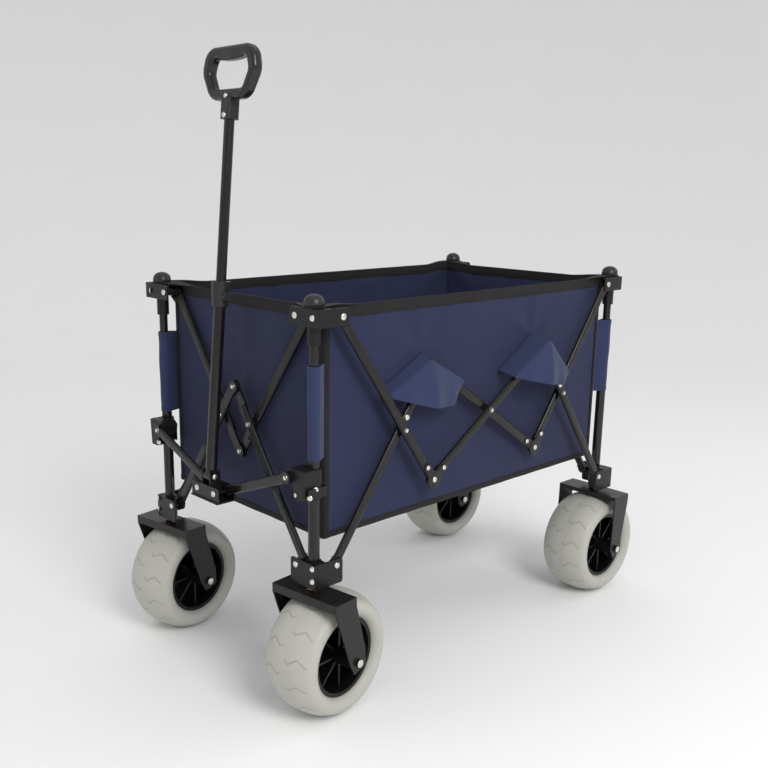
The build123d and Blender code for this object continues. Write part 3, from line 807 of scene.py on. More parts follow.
@dataclass
class Rivets:
    """Domed rivet heads, set on whatever steel faces them."""

    shop: Workshop
    radius: float = 0.0058
    height: float = 0.0024
    flange: float = 0.0006
    probe: float = 0.0075
    side_start: float = 0.33
    end_start: float = 0.0335
    middle_start: float = 0.0075
    around_post: float = 0.06
    branch_at: tuple[float, float] = (0.222, 0.5155)
    sites: dict[str, list[Shape]] = field(default_factory=dict)

    def surface(self, start: Vector, way: Vector) -> tuple[Vector, Vector, str] | None:
        """What a straight line meets first.

        Args:
            start: Where the line starts.
            way: Its direction.

        Returns:
            The point, the surface's normal and the body it belongs to, or None.
        """
        graph = bpy.context.evaluated_depsgraph_get()
        hit, place, normal, _, item, _ = bpy.context.scene.ray_cast(graph, start, way, distance=0.25)
        return (place, normal, item["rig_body"]) if hit else None

    def set_head(self, start: Vector, way: Vector, size: float = 1.0) -> None:
        """Sets a head where a line meets the steel, over the part's own plain head if it has one.

        The base is the highest of four places round the head that lies within 3 mm under its
        middle.

        Args:
            start: Where the line starts, outside the cart.
            way: Its direction, into the cart.
            size: Scale of the head.
        """
        way = way.normalized()
        middle = self.surface(start, way)
        if middle is None:
            LOG.warning("no steel for a rivet from %s", tuple(round(c, 3) for c in start))
            return
        top = (middle[0] - start).dot(way)
        across = way.orthogonal().normalized()
        spokes = (across, -across, way.cross(across), -way.cross(across))
        around = [self.surface(start + spoke * self.probe * size, way) for spoke in spokes]
        depths = [(found[0] - start).dot(way) for found in around if found is not None]
        near = [depth for depth in depths if -0.0005 < depth - top < 0.003]
        self.add_head(start + way * (min(near) if near else top), -way, middle[2], size)

    def add_head(self, base: Vector, normal: Vector, body: str, size: float) -> None:
        """Sets a head at a known place.

        The dome's height over radius r is its full height times one less the square of r over the
        radius, to the power 0.7, on a low flange.

        Args:
            base: The middle of its underside.
            normal: Which way it looks.
            body: The body that carries it.
            size: Scale of the head.
        """
        radius = self.radius * size
        r = np.linspace(0.0, radius * 0.9, 6)
        dome = self.flange + (self.height - self.flange) * (1.0 - (r / radius) ** 2) ** 0.7
        rim = [[radius, self.flange * 0.8], [radius, -0.0004], [0.0, -0.0004]]
        shape = turned_shape(np.concatenate([np.stack([r, dome], axis=1), rim]), base, normal, 18)
        self.sites.setdefault(body, []).append(shape)

    def place(self) -> None:
        """Goes round the cart and sets every head."""
        x, y = Vector((1, 0, 0)), Vector((0, 1, 0))
        for joint in frame["joints"]:
            name = joint["name"]
            if name.startswith(("floor", "castor", "handle_slide", "pull_link", "wheel")):
                continue
            where, axis = Vector(joint["pos_m"]), Vector(joint["axis"])
            if name.startswith("handle_pitch"):
                for sign in (1, -1):
                    self.set_head(where + y * sign * self.around_post, -y * sign)
            elif abs(axis.y) > 0.5:
                sign = math.copysign(1, where.y)
                self.set_head(Vector((where.x, sign * self.side_start, where.z)), -y * sign)
            else:
                sign = math.copysign(1, where.x)
                reach = self.end_start if abs(where.y) > 0.1 else self.middle_start
                self.set_head(Vector((sign * (LINKAGE.post_x + reach), where.y, where.z)), -x * sign)
        self.place_open_pivots()
        self.place_on_brackets()
        self.place_on_handle()

    def place_open_pivots(self) -> None:
        """Heads of the pins that close the loops and so are no joints of their own."""
        for sign in (1, -1):
            y_start = Vector((0, sign * self.side_start, 0))
            branch_x, branch_z = self.branch_at
            spots = [(LINKAGE.joint_x, LINKAGE.valley), (-LINKAGE.joint_x, LINKAGE.peak)]
            spots += [(branch_x, branch_z), (-branch_x, branch_z)]
            if sign < 0:
                spots.append((LINKAGE.side_pin_x, LINKAGE.top_pin))
            for along, z in spots:
                self.set_head(y_start + Vector((along, 0, z)), Vector((0, -sign, 0)))
            middle_x = sign * (LINKAGE.post_x + self.middle_start)
            self.set_head(Vector((middle_x, 0, LINKAGE.end_valley)), Vector((-sign, 0, 0)))
            end_x = sign * (LINKAGE.post_x + self.end_start)
            self.set_head(Vector((end_x, LINKAGE.end_pin_y, LINKAGE.top_pin)), Vector((-sign, 0, 0)))
        for z in (LINKAGE.bottom_pin, LINKAGE.top_pin):
            start = Vector((-LINKAGE.post_x - self.end_start, -LINKAGE.end_pin_y, z))
            self.set_head(start, Vector((1, 0, 0)))

    def place_on_brackets(self) -> None:
        """Heads on the bend of each bracket, on the axles, clamps and pull bracket."""
        for corner in Corner:
            sx, sy = corner.value
            post = Vector((sx * LINKAGE.post_x, sy * LINKAGE.post_y, 0.0))
            way = Vector((-sx, -sy, 0.0)).normalized()
            for z in (LINKAGE.top_pin, 0.285, 0.262):
                self.set_head(post - way * self.around_post + Vector((0, 0, z)), way, 0.9)
        for joint in frame["joints"]:
            if joint["name"].startswith("wheel"):
                where, axis = Vector(joint["pos_m"]), Vector(joint["axis"]).normalized()
                for sign in (1, -1):
                    self.set_head(where + axis * sign * 0.12, -axis * sign, 1.25)
        for sign in (1, -1):
            self.set_head(Vector((0.56, sign * 0.202, 0.442)), Vector((-1, 0, 0)))
            self.set_head(Vector((0.56, sign * 0.026, 0.374)), Vector((-1, 0, 0)))
            for turn, z in ((-25.0, 0.413), (35.0, 0.413), (60.0, 0.424)):
                way = Vector((-math.cos(math.radians(turn)), -sign * math.sin(math.radians(turn)), 0.0))
                post = Vector((LINKAGE.post_x, sign * LINKAGE.post_y, z))
                self.set_head(post - way * self.around_post, way, 0.85)

    def place_on_handle(self) -> None:
        """A head on the neck of the grip and one on its lower bar."""
        for z in (1.030, 1.061):
            self.set_head(Vector((0.52, 0.0, z)), Vector((-1, 0, 0)), 0.8)

    def finish(self) -> None:
        """Builds one piece of rivets for each body that carries some."""
        for body, shapes in sorted(self.sites.items()):
            piece = build(f"rivets_{body}", joined(shapes), self.shop.get("rivet"), "bracket")
            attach(piece, body)


@dataclass
class Knuckles:
    """Pressed plates over the pivots where two bars meet end to end."""

    shop: Workshop
    rivets: Rivets
    disc: float = 0.0175
    neck: float = 0.0086
    reach: float = 0.041
    height: float = 0.0026
    rivet_at: float = 0.032

    def outline(self, turn: np.ndarray, disc: float) -> np.ndarray:
        """Reach of the plate in each direction: a disc, or the ray's way out of a round-ended neck if longer.

        Args:
            turn: Angle from the neck's direction.
            disc: Radius of the disc about the pivot.

        Returns:
            The distance from the pivot to the edge.
        """
        sine = np.abs(np.sin(turn))
        tip = self.reach - self.neck
        inside = np.maximum(self.neck**2 - (tip * sine) ** 2, 0.0)
        end = tip * np.cos(turn) + np.sqrt(inside)
        flank = self.neck / np.maximum(sine, 1e-6)
        ray = np.where((tip * sine < self.neck) & (np.cos(turn) > 0), end, flank)
        return np.maximum(disc, np.where(np.cos(turn) > 0, ray, 0.0))

    def plate(self, body: str, pivot: Vector, normal: Vector, along: Vector, lower: bool) -> None:
        """One plate: a flat top with a rounded edge, scaled out to the outline in every direction.

        Args:
            body: The bar it is on.
            pivot: Its pivot, on the bar's outer face.
            normal: Which way the face looks.
            along: Where its neck points.
            lower: Whether it is the plain end that lies under the other plate's disc.
        """
        disc = self.neck * 0.9 if lower else self.disc
        height = self.height * (0.45 if lower else 1.0)
        turn = np.linspace(-math.pi, math.pi, 96, endpoint=False)[:, None]
        edge = self.outline(turn, disc)
        profile = np.array([
            [0.0, 1.0], [0.5, 1.0], [0.8, 1.0], [0.93, 0.93], [0.985, 0.7], [1.0, 0.3],
            [1.0, -0.2], [0.0, -0.2],
        ])
        across = normal.cross(along)
        share, level = profile[None, :, 0], profile[None, :, 1] * height
        axes = np.array([along, across, normal])
        local = np.stack([
            edge * share * np.cos(turn), edge * share * np.sin(turn), level + 0.0 * turn
        ], axis=2)
        points = local.reshape(-1, 3) @ axes + np.array(pivot)
        faces = grid_quads(len(turn), len(profile), wrap_rows=True)
        shape = Shape(points, [faces], local[..., :2].reshape(-1, 2)).outward()
        piece = build(f"knuckle_{body}", shape, self.shop.get("bar"), "bracket")
        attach(piece, body)
        self.rivets.add_head(pivot + along * self.rivet_at + normal * height, normal, body, 0.8)
        if not lower:
            self.rivets.add_head(pivot + normal * self.height, normal, body, 0.95)

    def finish(self) -> None:
        """Two plates at each valley of the long sides."""
        for sign, name in ((1, "left"), (-1, "right")):
            normal = Vector((0, sign, 0))
            for place, first, second in (
                (LINKAGE.joint_x, f"side_bar_front_fall_{name}", f"side_bar_middle_rise_{name}"),
                (-LINKAGE.joint_x, f"side_bar_rear_rise_{name}", f"side_bar_middle_fall_{name}"),
            ):
                for body in (first, second):
                    low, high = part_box(body)
                    face = self.face_height(body, Vector((place, 0, LINKAGE.valley)), normal)
                    pivot = Vector((place, sign * face, LINKAGE.valley))
                    middle = (low + high) / 2
                    along = Vector((middle.x - place, 0, middle.z - LINKAGE.valley)).normalized()
                    self.plate(body, pivot, normal, along, body == second)

    def face_height(self, body: str, place: Vector, normal: Vector) -> float:
        """How far out the tube of a bar stands, from the part's own vertices near the neck's end.

        Args:
            body: The bar.
            place: The pivot.
            normal: Which way the face looks.

        Returns:
            The distance of the bar's outer face from the cart's middle plane.
        """
        mesh = frame["nodes"][body].data
        co = np.zeros(len(mesh.vertices) * 3)
        mesh.vertices.foreach_get("co", co)
        co = co.reshape(-1, 3)
        away = np.hypot(co[:, 0] - place.x, co[:, 2] - place.z)
        near = co[(away > 0.012) & (away < 0.045)]
        return float((near @ np.array(normal)).max())


@dataclass
class PostTops:
    """The mushroom cap on each post and the copper washer over each front fork."""

    shop: Workshop
    cap_radius: float = 0.0174
    cap_base: float = 0.7293
    cap_top: float = 0.7479
    washer_radius: float = 0.0125
    washer_height: float = 0.0026

    def cap(self, corner: Corner) -> None:
        """A low dome over a short straight rim: height over radius r follows a flattened circle.

        Args:
            corner: Whose post it closes.
        """
        low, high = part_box(f"upper_post_{corner.label}")
        centre = Vector(((low.x + high.x) / 2, (low.y + high.y) / 2, self.cap_base))
        rise = self.cap_top - self.cap_base
        r = np.linspace(0.0, self.cap_radius, 16)
        dome = 0.0042 + (rise - 0.0042) * np.sqrt(np.maximum(0.0, 1.0 - (r / self.cap_radius) ** 2.2))
        rim = [[self.cap_radius, 0.0012], [self.cap_radius - 0.001, 0.0001], [0.0, 0.0001]]
        profile = np.concatenate([np.stack([r, dome], axis=1), rim])
        piece = build(f"post_cap_{corner.label}", turned_shape(profile, centre, Vector((0, 0, 1)), 40),
                      self.shop.get("cap"), "plastic", 50.0)
        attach(piece, f"upper_corner_{corner.label}")

    def washer(self, side: str) -> None:
        """A dished ring round the castor's stem: a closed outline turned about the stem.

        Args:
            side: Left or right.
        """
        low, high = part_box(f"lower_post_front_{side}")
        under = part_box(f"bottom_bracket_front_{side}")[0].z
        centre = Vector(((low.x + high.x) / 2, (low.y + high.y) / 2, under - 0.0042))
        outline = rounded_box_outline(0.004, self.washer_height / 2, 0.0011, 4)
        ring = outline + np.array([self.washer_radius - 0.004, 0.0])
        closed = np.concatenate([ring, ring[:1]])
        piece = build(f"castor_washer_{side}", turned_shape(closed, centre, Vector((0, 0, 1)), 36),
                      self.shop.get("washer"), "bracket")
        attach(piece, f"castor_front_{side}")

    def finish(self) -> None:
        """Makes all of them."""
        for corner in Corner:
            self.cap(corner)
        for side in ("left", "right"):
            self.washer(side)


# ------------------------------------------------------------------------------ wheels


@dataclass
class Tyre:
    """A wide balloon tyre with thin zigzag grooves in its tread."""

    shop: Workshop
    name: str
    radius: float = 0.113
    half_width: float = 0.0555
    hub_radius: float = 0.0733
    bead: float = 0.044
    crown: float = 0.0025
    rows: int = 14
    groove_depth: float = 0.0009
    groove_width: float = 0.0010
    segments: int = 448

    def section(self) -> np.ndarray:
        """Axial place and radius round the tyre's section: flat seat, two bulging walls and a crown."""
        wall = self.radius - self.hub_radius
        bulge = (self.half_width, self.hub_radius + wall * 0.42)
        shoulder = (self.half_width * 0.84, self.radius - wall * 0.26)
        side = arc_through((self.bead, self.hub_radius), bulge, shoulder, 22)
        crown = (self.half_width * 0.5, self.radius - self.crown)
        tread = arc_through(shoulder, crown, (0.0, self.radius), 34)
        half = np.concatenate([side[:-1], tread])
        mirrored = half[-2::-1] * np.array([-1.0, 1.0])
        return np.concatenate([half, mirrored])

    def grooves(self, turn: np.ndarray, axial: np.ndarray) -> np.ndarray:
        """How much groove there is: one on a zigzag's line, fading as a bell curve beside it.

        Each row is a zigzag whose place round the tyre swings 6 mm either way every 34 mm across.
        The two halves of the tread are half a row apart and stop short of the middle and shoulder.

        Args:
            turn: Angle round the axle of each point.
            axial: Place across the tyre of each point.

        Returns:
            The groove's strength at each point, 0 to 1.
        """
        pitch = 2.0 * math.pi / self.rows
        swing = 0.006 * (2.0 * np.abs(2.0 * np.mod(np.abs(axial) / 0.034 + 0.15, 1.0) - 1.0) - 1.0)
        shifted = turn * self.radius - swing - np.where(axial > 0, 0.5, 0.0) * pitch * self.radius
        spacing = pitch * self.radius
        away = np.mod(shifted + spacing / 2.0, spacing) - spacing / 2.0
        line = np.exp(-((away / self.groove_width) ** 2))
        inside = smooth_step((np.abs(axial) - 0.003) / 0.002) * smooth_step((0.047 - np.abs(axial)) / 0.003)
        return line * inside

    def finish(self) -> None:
        """Turns the section about the axle and presses the grooves in towards it."""
        node = f"tyre_{self.name}"
        joint = next(j for j in frame["joints"] if j["name"] == f"wheel_spin_{self.name}")
        centre, axis = Vector(joint["pos_m"]), Vector(joint["axis"]).normalized()
        section = self.section()
        turn = np.linspace(0.0, 2.0 * math.pi, self.segments, endpoint=False)[:, None]
        axial = section[None, :, 0] + 0.0 * turn
        mark = self.grooves(turn + 0.0 * axial, axial)
        mark = mark * (section[None, :, 1] > self.hub_radius + 0.012)
        reach = section[None, :, 1] - mark * self.groove_depth
        up = Vector((0, 0, 1))
        side = axis.cross(up).normalized()
        basis = np.array([side, up, axis])
        local = np.stack([np.cos(turn) * reach, np.sin(turn) * reach, axial], axis=2)
        points = local.reshape(-1, 3) @ basis + np.array(centre)
        along = run_length(section)[None, :] + 0.0 * turn
        chart = np.stack([turn * self.radius + 0.0 * along, along], axis=2).reshape(-1, 2)
        faces = [grid_quads(self.segments, len(section), wrap_rows=True, wrap_cols=True)]
        shape = Shape(points, faces, chart, mark.reshape(-1)).outward()
        piece = build(f"tread_{self.name}", shape, self.shop.get("skin"), "tyre", 60.0)
        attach(piece, f"wheel_{self.name}")
        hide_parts(node)


# ------------------------------------------------------------------------------ the tub


@dataclass
class Tub:
    """The navy tub: four walls, their bindings, corners, sleeves, hoods and floor."""

    shop: Workshop
    half_length: float = 0.398
    half_width: float = 0.2235
    base: float = 0.3236
    rim: float = 0.7235
    rim_corner: float = 0.7275
    rim_reach: float = 0.085
    cloth: float = 0.0012
    travel_x: float = 0.3070
    travel_y: float = 0.2374
    front_peak_travel: float = 0.1375
    rear_peak_travel: float = 0.1693
    hood_keep: float = 0.42
    front_stand: float = 0.0245
    rear_stand: float = 0.0440
    post_x: float = LINKAGE.post_x
    post_y: float = LINKAGE.post_y

    def length(self, side: Side) -> float:
        """The wall's length along the rim."""
        return 2.0 * (self.half_width if side in (Side.FRONT, Side.REAR) else self.half_length)

    def rim_height(self, along: np.ndarray, length: float) -> np.ndarray:
        """Height of the rim: level, and rising smoothly to the posts over the last stretch.

        Args:
            along: Distance from one end of the wall.
            length: The wall's length.

        Returns:
            The height at each place.
        """
        near = np.minimum(along, length - along)
        lift = smooth_step(1.0 - near / self.rim_reach)
        return self.rim + (self.rim_corner - self.rim) * lift

    def axes(self, side: Side) -> tuple[np.ndarray, np.ndarray, np.ndarray]:
        """Where a wall starts, which way it runs and which way it faces, as three vectors."""
        face = np.array([*side.value, 0.0])
        if side in (Side.LEFT, Side.RIGHT):
            start = np.array([self.half_length, self.half_width * face[1], 0.0])
            return start, np.array([-1.0, 0.0, 0.0]), face
        start = np.array([self.half_length * face[0], self.half_width, 0.0])
        return start, np.array([0.0, -1.0, 0.0]), face

    def creases(self, along: np.ndarray, z: np.ndarray, spots: Sequence[tuple[float, ...]]) -> np.ndarray:
        """Folds that fan out from points where the cloth is pulled.

        Each spot adds its strength times the sine of a multiple of the angle round it, times a
        fall-off that is the exponential of minus the distance over its reach.

        Args:
            along: Distance along the wall.
            z: Height.
            spots: Place along, height, strength, number of folds, reach and phase of each.

        Returns:
            How far the cloth stands out.
        """
        total = np.zeros_like(along)
        for at, height, strength, folds, reach, phase in spots:
            away = np.hypot(along - at, z - height)
            angle = np.arctan2(z - height, along - at)
            near = np.exp(-away / reach) * smooth_step(away / 0.05)
            total += strength * np.sin(folds * angle + phase) * near
        return total

    def wall(self, side: Side) -> bpy.types.Object:
        """One wall: a taut sheet that bellies in a little, with folds from its corners and hoods.

        Args:
            side: Which wall.

        Returns:
            The wall's cloth.
        """
        length = self.length(side)
        start, run, face = self.axes(side)
        cols = 161 if length > 0.6 else 97
        s, h = np.meshgrid(np.linspace(0.0, length, cols), np.linspace(0.0, 1.0, 81))
        top = self.rim_height(s, length)
        z = self.base + (top - self.base) * h
        spots = [
            (0.0, self.rim_corner, 0.0026, 7.0, 0.11, 0.4), (length, self.rim_corner, 0.0026, 6.0, 0.12, 1.3),
            (0.0, self.base, 0.0018, 8.0, 0.08, 2.0), (length, self.base, 0.0018, 7.0, 0.09, 0.9),
        ]
        if side in (Side.LEFT, Side.RIGHT):
            spots += [(0.231, 0.628, 0.0022, 5.0, 0.06, 0.2), (0.560, 0.622, 0.0026, 5.0, 0.07, 1.1)]
        else:
            spots += [(0.2235, 0.60, 0.0022, 4.0, 0.09, 1.7)]
        belly = -0.0045 * np.sin(math.pi * s / length) * np.sin(math.pi * h)
        ripple = 0.0011 * np.sin(21.0 * s + 9.0 * z) * np.sin(13.0 * z - 4.0 * s + 1.0)
        hold = smooth_step(np.minimum(s, length - s) / 0.03) * smooth_step((z - self.base) / 0.03)
        hold = hold * smooth_step((top - z) / 0.03)
        out = (belly + ripple + self.creases(s, z, spots)) * hold
        grid = start + run * s[..., None] + face * out[..., None]
        grid[..., 2] = z
        shape = cloth_shape(grid, self.cloth)
        return build(f"tub_wall_{side.name.lower()}", shape, self.shop.get("navy"), "basket")

    def binding(self, side: Side, height: float, half_height: float, part: str) -> bpy.types.Object:
        """A folded tape over an edge of a wall: a rounded flat outline carried along the edge.

        Args:
            side: Which wall.
            height: Zero for the foot's edge, one for the rim.
            half_height: Half the tape's height.
            part: The tape's name.

        Returns:
            The tape.
        """
        length = self.length(side)
        start, run, face = self.axes(side)
        s = np.linspace(0.0, length, 121)
        z = self.rim_height(s, length) if height > 0.5 else np.full_like(s, self.base)
        lift = z + (0.0012 - half_height if height > 0.5 else half_height - 0.0006)
        path = start + run * s[:, None] + np.stack([0 * s, 0 * s, lift], axis=1)
        wave = 0.0004 * np.sin(s * 70.0) * smooth_step(np.minimum(s, length - s) / 0.02)
        path = path + face * wave[:, None]
        outline = rounded_box_outline(0.0019, half_height, 0.0017, 5)
        shape = band_shape(path, face, np.array([0.0, 0.0, 1.0]), outline)
        return build(f"{part}_{side.name.lower()}", shape, self.shop.get("binding"), "basket")

    def fold_with(self, piece: bpy.types.Object, side: Side) -> None:
        """Makes a wall's piece ride one of its posts, with a mesh of its own.

        Args:
            piece: The cloth or tape.
            side: The wall it is on.
        """
        body = {
            Side.LEFT: "upper_corner_front_left", Side.RIGHT: "upper_corner_front_right",
            Side.FRONT: "upper_corner_front_left", Side.REAR: "upper_corner_rear_left",
        }[side]
        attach(piece, body)
        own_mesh(piece)

    def walls(self) -> None:
        for side in Side:
            cloth = self.wall(side)
            tapes = [
                self.binding(side, 1.0, 0.0105, "rim_tape"),
                self.binding(side, 0.0, 0.0060, "foot_tape"),
            ]
            for piece in (cloth, *tapes):
                self.fold_with(piece, side)
            if side is Side.LEFT:
                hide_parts("basket")

    def corner_tape(self, corner: Corner) -> bpy.types.Object:
        """The tape down a corner: a strip bent round a small quarter circle, from foot to rim.

        Args:
            corner: Which corner.

        Returns:
            The tape.
        """
        sx, sy = corner.value
        bend, leg = 0.005, 0.011
        quarter = np.linspace(0.0, math.pi / 2.0, 9)
        arc = np.stack([bend * np.sin(quarter) - bend, bend * np.cos(quarter) - bend], axis=1)
        halfway = -(leg + bend) / 2
        line = np.concatenate([[[-leg, 0.0]], [[halfway, 0.0]], arc, [[0.0, halfway]], [[0.0, -leg]]])
        line = line + 0.0014
        z = np.linspace(self.base - 0.0003, self.rim_corner - 0.001, 60)
        grid = np.zeros((len(z), len(line), 3))
        grid[..., 0] = sx * (self.half_length + line[None, :, 0])
        grid[..., 1] = sy * (self.half_width + line[None, :, 1])
        grid[..., 2] = z[:, None]
        shape = cloth_shape(grid, 0.0018)
        piece = build(f"corner_tape_{corner.label}", shape, self.shop.get("binding"), "basket")
        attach(piece, f"upper_corner_{corner.label}")
        return piece

    def sleeve(self, corner: Corner) -> None:
        """The cloth sleeve round a post, drawn to the tub's corner like a teardrop.

        Radius at angle d from the corner's direction is R over the cosine of what the tangent's
        angle exceeds d by, so it is a circle at the back and two straight sides at the front. The
        hems at both ends stand out half a millimetre, and slow waves run down it.

        Args:
            corner: Which post.
        """
        sx, sy = corner.value
        post = np.array([sx * self.post_x, sy * self.post_y])
        to_corner = np.array([sx * (self.half_length + 0.001), sy * (self.half_width + 0.001)]) - post
        reach = float(np.linalg.norm(to_corner))
        heading = math.atan2(to_corner[1], to_corner[0])
        turn = np.linspace(-math.pi, math.pi, 72, endpoint=False)[None, :]
        z = np.linspace(0.4716, 0.6310, 60)[:, None]
        edge = np.minimum(z - 0.4716, 0.6310 - z)
        hem = 0.0006 * (1.0 - smooth_step((edge - 0.009) / 0.0015))
        radius = 0.0104 + hem + 0.0004 * np.sin(38.0 * z + 2.0 * turn) + 0.0003 * np.sin(91.0 * z)
        tangent = np.arccos(radius / reach)
        away = radius / np.cos(np.maximum(0.0, tangent - np.abs(turn)))
        grid = np.stack([
            post[0] + away * np.cos(turn + heading), post[1] + away * np.sin(turn + heading), z + 0.0 * turn
        ], axis=2)
        # painted light: the sleeve takes the lighter copy of the navy cloth
        piece = build(f"post_sleeve_{corner.label}", cloth_shape(grid, 0.0012, around=True),
                      self.shop.get("sleeve_cloth"), "basket", 50.0)
        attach(piece, f"upper_corner_{corner.label}")

    def corner_tab(self, corner: Corner) -> None:
        """The black gusset over a bracket: straight lines from the rim's line out to a curve round the cap.

        Its height eases from the rim up to the bracket's top with the distance from the corner.

        Args:
            corner: Which post.
        """
        sx, sy = corner.value
        turn = np.linspace(math.radians(100.0), math.radians(-22.0), 24)
        centre = np.array([self.post_x - self.half_length, self.post_y - self.half_width])
        curve = centre + 0.0195 * np.stack([np.cos(turn), np.sin(turn)], axis=1)
        outer = resample(np.concatenate([[[-0.072, 0.0022]], curve, [[0.0022, -0.072]]]), 60)
        inner = resample(np.array([[-0.072, -0.0022], [-0.0022, -0.0022], [-0.0022, -0.072]]), 60)
        share = np.linspace(0.0, 1.0, 9)[:, None, None]
        flat = inner[None] * (1.0 - share) + outer[None] * share
        away = np.hypot(flat[..., 0], flat[..., 1])
        near_post = np.hypot(flat[..., 0] - centre[0], flat[..., 1] - centre[1])
        height = self.rim + 0.0006 + 0.0046 * smooth_step(1.25 - np.minimum(away, near_post + 0.012) / 0.06)
        grid = np.stack([
            sx * (self.half_length + flat[..., 0]), sy * (self.half_width + flat[..., 1]), height
        ], axis=2)
        shape = cloth_shape(grid, 0.0013)
        piece = build(f"corner_tab_{corner.label}", shape, self.shop.get("binding"), "basket")
        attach(piece, f"upper_corner_{corner.label}")

    def hood(
        self, side: Side, label: str, outline: dict[str, tuple[float, float]], stand: float
    ) -> None:
        """A little hood of cloth over a peak of the scissor bars.

        Its fold runs from the left corner over the tip to the right corner. A roof joins the fold
        to the wall, and the front hangs from the fold to the hem, standing further out the nearer
        it is to the middle.

        Args:
            side: Which long wall.
            label: Front or rear.
            outline: Place along the cart and height of the tip, left, foot, heel and right corner.
            stand: How far the fold stands out from the wall.
        """
        facing = side.value[1]
        u = np.linspace(-1.0, 1.0, 65)
        corners = {key: np.array(value) for key, value in outline.items()}
        fold_line = np.stack([
            np.interp(u, [-1.0, 0.0, 1.0], [corners["left"][k], corners["tip"][k], corners["right"][k]])
            for k in (0, 1)
        ], axis=1)
        order = ("left", "foot", "heel", "right")
        hem_line = np.stack([
            np.interp(u, [-1.0, -0.05, 0.5, 1.0], [corners[name][k] for name in order]) for k in (0, 1)
        ], axis=1)
        kernel = np.hanning(9) / np.hanning(9).sum()
        soft = np.stack([
            np.convolve(np.pad(hem_line[:, k], 4, mode="edge"), kernel, "valid") for k in (0, 1)
        ], axis=1)
        ends = smooth_step((1.0 - np.abs(u)) / 0.15)[:, None]
        hem_line = hem_line * (1.0 - ends) + soft * ends
        hem_line[:, 1] -= 0.0015
        middle = 1.0 - np.abs(u)
        fold_out = stand + 0.0035 * smooth_step(middle)
        hem_out = stand - 0.002 + 0.0230 * np.sin(0.5 * math.pi * np.clip(middle * 1.15, 0, 1)) ** 1.3
        wall_line = fold_line + np.array([0.0, 0.008])
        rows = []
        for share in np.linspace(0.0, 1.0, 9)[:-1]:
            line = wall_line * (1.0 - share) + fold_line * share
            bow = 0.0012 * math.sin(math.pi * share)
            rows.append((line, 0.0012 + (fold_out - 0.0012) * share + bow))
        for share in np.linspace(0.0, 1.0, 40):
            line = fold_line * (1.0 - share) + hem_line * share
            belly = 0.0028 * math.sin(math.pi * share) * middle
            ripple = 0.0016 * np.sin(11.0 * u + 2.0 * share) * share * smooth_step(middle / 0.3)
            crest = 0.004 * np.exp(-((u / 0.16) ** 2)) * math.sin(0.5 * math.pi * share)
            rows.append((line, fold_out + (hem_out - fold_out) * share + belly + ripple + crest))
        grid = np.zeros((len(rows), len(u), 3))
        grid[..., 0] = np.stack([line[:, 0] for line, _ in rows])
        grid[..., 1] = facing * (self.half_width + np.stack([out for _, out in rows]))
        grid[..., 2] = np.stack([line[:, 1] for line, _ in rows])
        name = f"bar_hood_{label}_{side.name.lower()}"
        # painted light: the hood takes the lighter copy of the navy cloth, standing in for the light on its
        # tilted face
        piece = build(name, cloth_shape(grid, 0.0011), self.shop.get("sleeve_cloth"), "basket", 50.0)
        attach(piece, f"upper_corner_front_{side.name.lower()}")
        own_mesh(piece)

    def hoods(self) -> None:
        """Both hoods on both long walls."""
        front = {"tip": (0.167, 0.613), "left": (0.270, 0.559), "foot": (0.173, 0.530),
                 "heel": (0.117, 0.525), "right": (0.070, 0.561)}
        rear = {"tip": (-0.160, 0.618), "left": (-0.059, 0.554), "foot": (-0.142, 0.534),
                "heel": (-0.200, 0.524), "right": (-0.240, 0.542)}
        for side in (Side.LEFT, Side.RIGHT):
            self.hood(side, "front", front, self.front_stand)
            self.hood(side, "rear", rear, self.rear_stand)

    def board(self, side: str) -> None:
        """A cloth-covered floor board: a flat slab whose edge is rounded and whose top is barely crowned.

        Args:
            side: Left or right.
        """
        low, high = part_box(f"floor_{side}")
        half = np.array([(high.x - low.x) / 2.0, (high.y - low.y) / 2.0])
        middle = (low + high) / 2.0
        a, b = np.meshgrid(np.linspace(-1.0, 1.0, 61), np.linspace(-1.0, 1.0, 31))
        crown = 0.0005 * (1.0 - a**4) * (1.0 - b**4)
        tuft = 0.0003 * np.sin(9.0 * a) * np.sin(5.0 * b)
        grid = np.stack([
            middle.x + a * (half[0] - 0.0004),
            middle.y + b * (half[1] - 0.0004),
            middle.z + crown + tuft - 0.0004,
        ], axis=2)
        piece = build(f"floor_board_{side}", cloth_shape(grid, 0.0042), self.shop.get("navy"), "floor", 60.0)
        bevel = piece.modifiers.new("edge", "BEVEL")
        bevel.width, bevel.segments, bevel.limit_method = 0.0016, 3, "ANGLE"
        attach(piece, f"floor_{side}")
        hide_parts(f"floor_{side}")
        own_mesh(piece)

    def finish(self) -> None:
        """Makes the whole tub."""
        self.walls()
        for corner in Corner:
            self.corner_tape(corner)
            self.sleeve(corner)
            self.corner_tab(corner)
        self.hoods()
        for side in ("left", "right"):
            self.board(side)


# ------------------------------------------------------------------------------ the studio


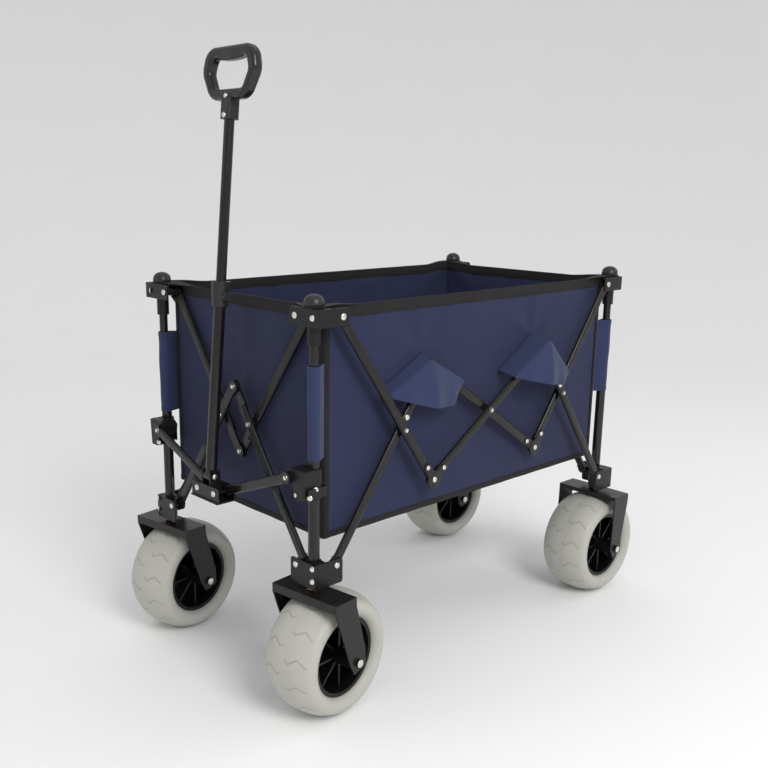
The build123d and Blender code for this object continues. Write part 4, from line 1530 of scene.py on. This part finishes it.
@dataclass
class Studio:
    """A pale floor, soft light and the camera."""

    eye: tuple[float, float, float] = (1.40327, 1.38515, 0.92703)
    forward: tuple[float, float, float] = (-0.660116, -0.711589, -0.240599)
    up: tuple[float, float, float] = (-0.155309, -0.184086, 0.970562)
    lens: float = 44.403
    shift: tuple[float, float] = (0.0368, 0.0387)
    floor_colour: Rgb = (0.93, 0.93, 0.93)
    world_colour: Rgb = (1.0, 1.0, 1.0)
    world_low: float = 0.16
    world_high: float = 0.9
    flat_reach: float = 3.0
    rise: float = 0.14

    def floor(self) -> None:
        """A wide floor that curves up all round, by the square of how far past its flat part it is."""
        x, y = np.meshgrid(np.linspace(-9.0, 9.0, 61), np.linspace(-9.0, 9.0, 61))
        past = np.maximum(np.hypot(x, y) - self.flat_reach, 0.0)
        grid = np.stack([x, y, self.rise * past**2 - 0.002], axis=2)
        material, n, shader = start_material("pale_floor")
        noise = n.add("TexNoise", n.add("TexCoord").outputs["Object"], None, 3.0, 2.0, 0.5).outputs[0]
        tint = tuple(c * 0.985 for c in self.floor_colour)
        n.feed(shader.inputs["Base Color"], n.blend(noise, (*self.floor_colour, 1.0), (*tint, 1.0)))
        shader.inputs["Roughness"].default_value = 0.9
        shader.inputs["Specular IOR Level"].default_value = 0.1
        piece = build("studio_floor", cloth_shape(grid, 0.004), material, "basket")
        del piece["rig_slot"]

    def light(self, name: str, place: Vector, aim: Vector, size: float, power: float) -> None:
        """One soft box.

        Args:
            name: Its name.
            place: Where it hangs.
            aim: What it looks at.
            size: The length of its side.
            power: Its power in watts.
        """
        lamp = bpy.data.lights.new(name, "AREA")
        lamp.shape, lamp.size, lamp.energy = "SQUARE", size, power
        holder = bpy.data.objects.new(name, lamp)
        holder.location = place
        holder.rotation_euler = (aim - place).to_track_quat("-Z", "Y").to_euler()
        bpy.context.scene.collection.objects.link(holder)

    def camera(self) -> None:
        """The camera, from its eye point and its forward and up directions."""
        lens = bpy.data.cameras.new("camera")
        lens.lens, lens.sensor_width = self.lens, 36.0
        lens.shift_x, lens.shift_y = self.shift
        lens.clip_start = 0.01
        forward, up = Vector(self.forward).normalized(), Vector(self.up).normalized()
        right = forward.cross(up).normalized()
        turn = Matrix((right, right.cross(forward), -forward)).transposed()
        holder = bpy.data.objects.new("camera", lens)
        holder.matrix_world = Matrix.Translation(self.eye) @ turn.to_4x4()
        bpy.context.scene.collection.objects.link(holder)
        bpy.context.scene.camera = holder

    def world(self) -> None:
        """A pale surround that is brighter overhead, by the height of the direction."""
        world = bpy.data.worlds.new("studio")
        world.use_nodes = True
        n = Nodes(world.node_tree)
        back = world.node_tree.nodes["Background"]
        back.inputs["Color"].default_value = (*self.world_colour, 1.0)
        overhead = n.add("SeparateXYZ", n.add("TexCoord").outputs["Generated"]).outputs["Z"]
        gain = n.maths("MULTIPLY_ADD", n.maths("MAXIMUM", overhead, 0.0), self.world_high - self.world_low)
        gain.node.inputs[2].default_value = self.world_low
        n.feed(back.inputs["Strength"], gain)
        bpy.context.scene.world = world

    def finish(self) -> None:
        """Sets up the floor, the lights and the camera."""
        bpy.context.scene.view_settings.view_transform = "Standard"
        self.floor()
        self.world()
        middle = Vector((0.0, 0.0, 0.4))
        self.light("key", Vector((0.9, 2.9, 2.4)), Vector((0.2, 0.0, 0.4)), 1.4, 66.0)
        self.light("side", Vector((-2.6, 1.6, 2.2)), middle, 1.4, 8.0)
        self.light("front", Vector((3.0, -1.2, 1.8)), middle, 1.0, 3.5)
        self.camera()


def main() -> None:
    """Builds the cart in order."""
    logging.basicConfig(level=logging.INFO, format="%(name)s: %(message)s")
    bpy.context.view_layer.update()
    shop = Workshop()
    SteelFrame(shop).dress()
    rivets = Rivets(shop)
    rivets.place()
    Knuckles(shop, rivets).finish()
    rivets.finish()
    PostTops(shop).finish()
    for corner in Corner:
        Tyre(shop, corner.label).finish()
    Tub(shop).finish()
    Studio().finish()


if __name__ == "__main__":
    main()
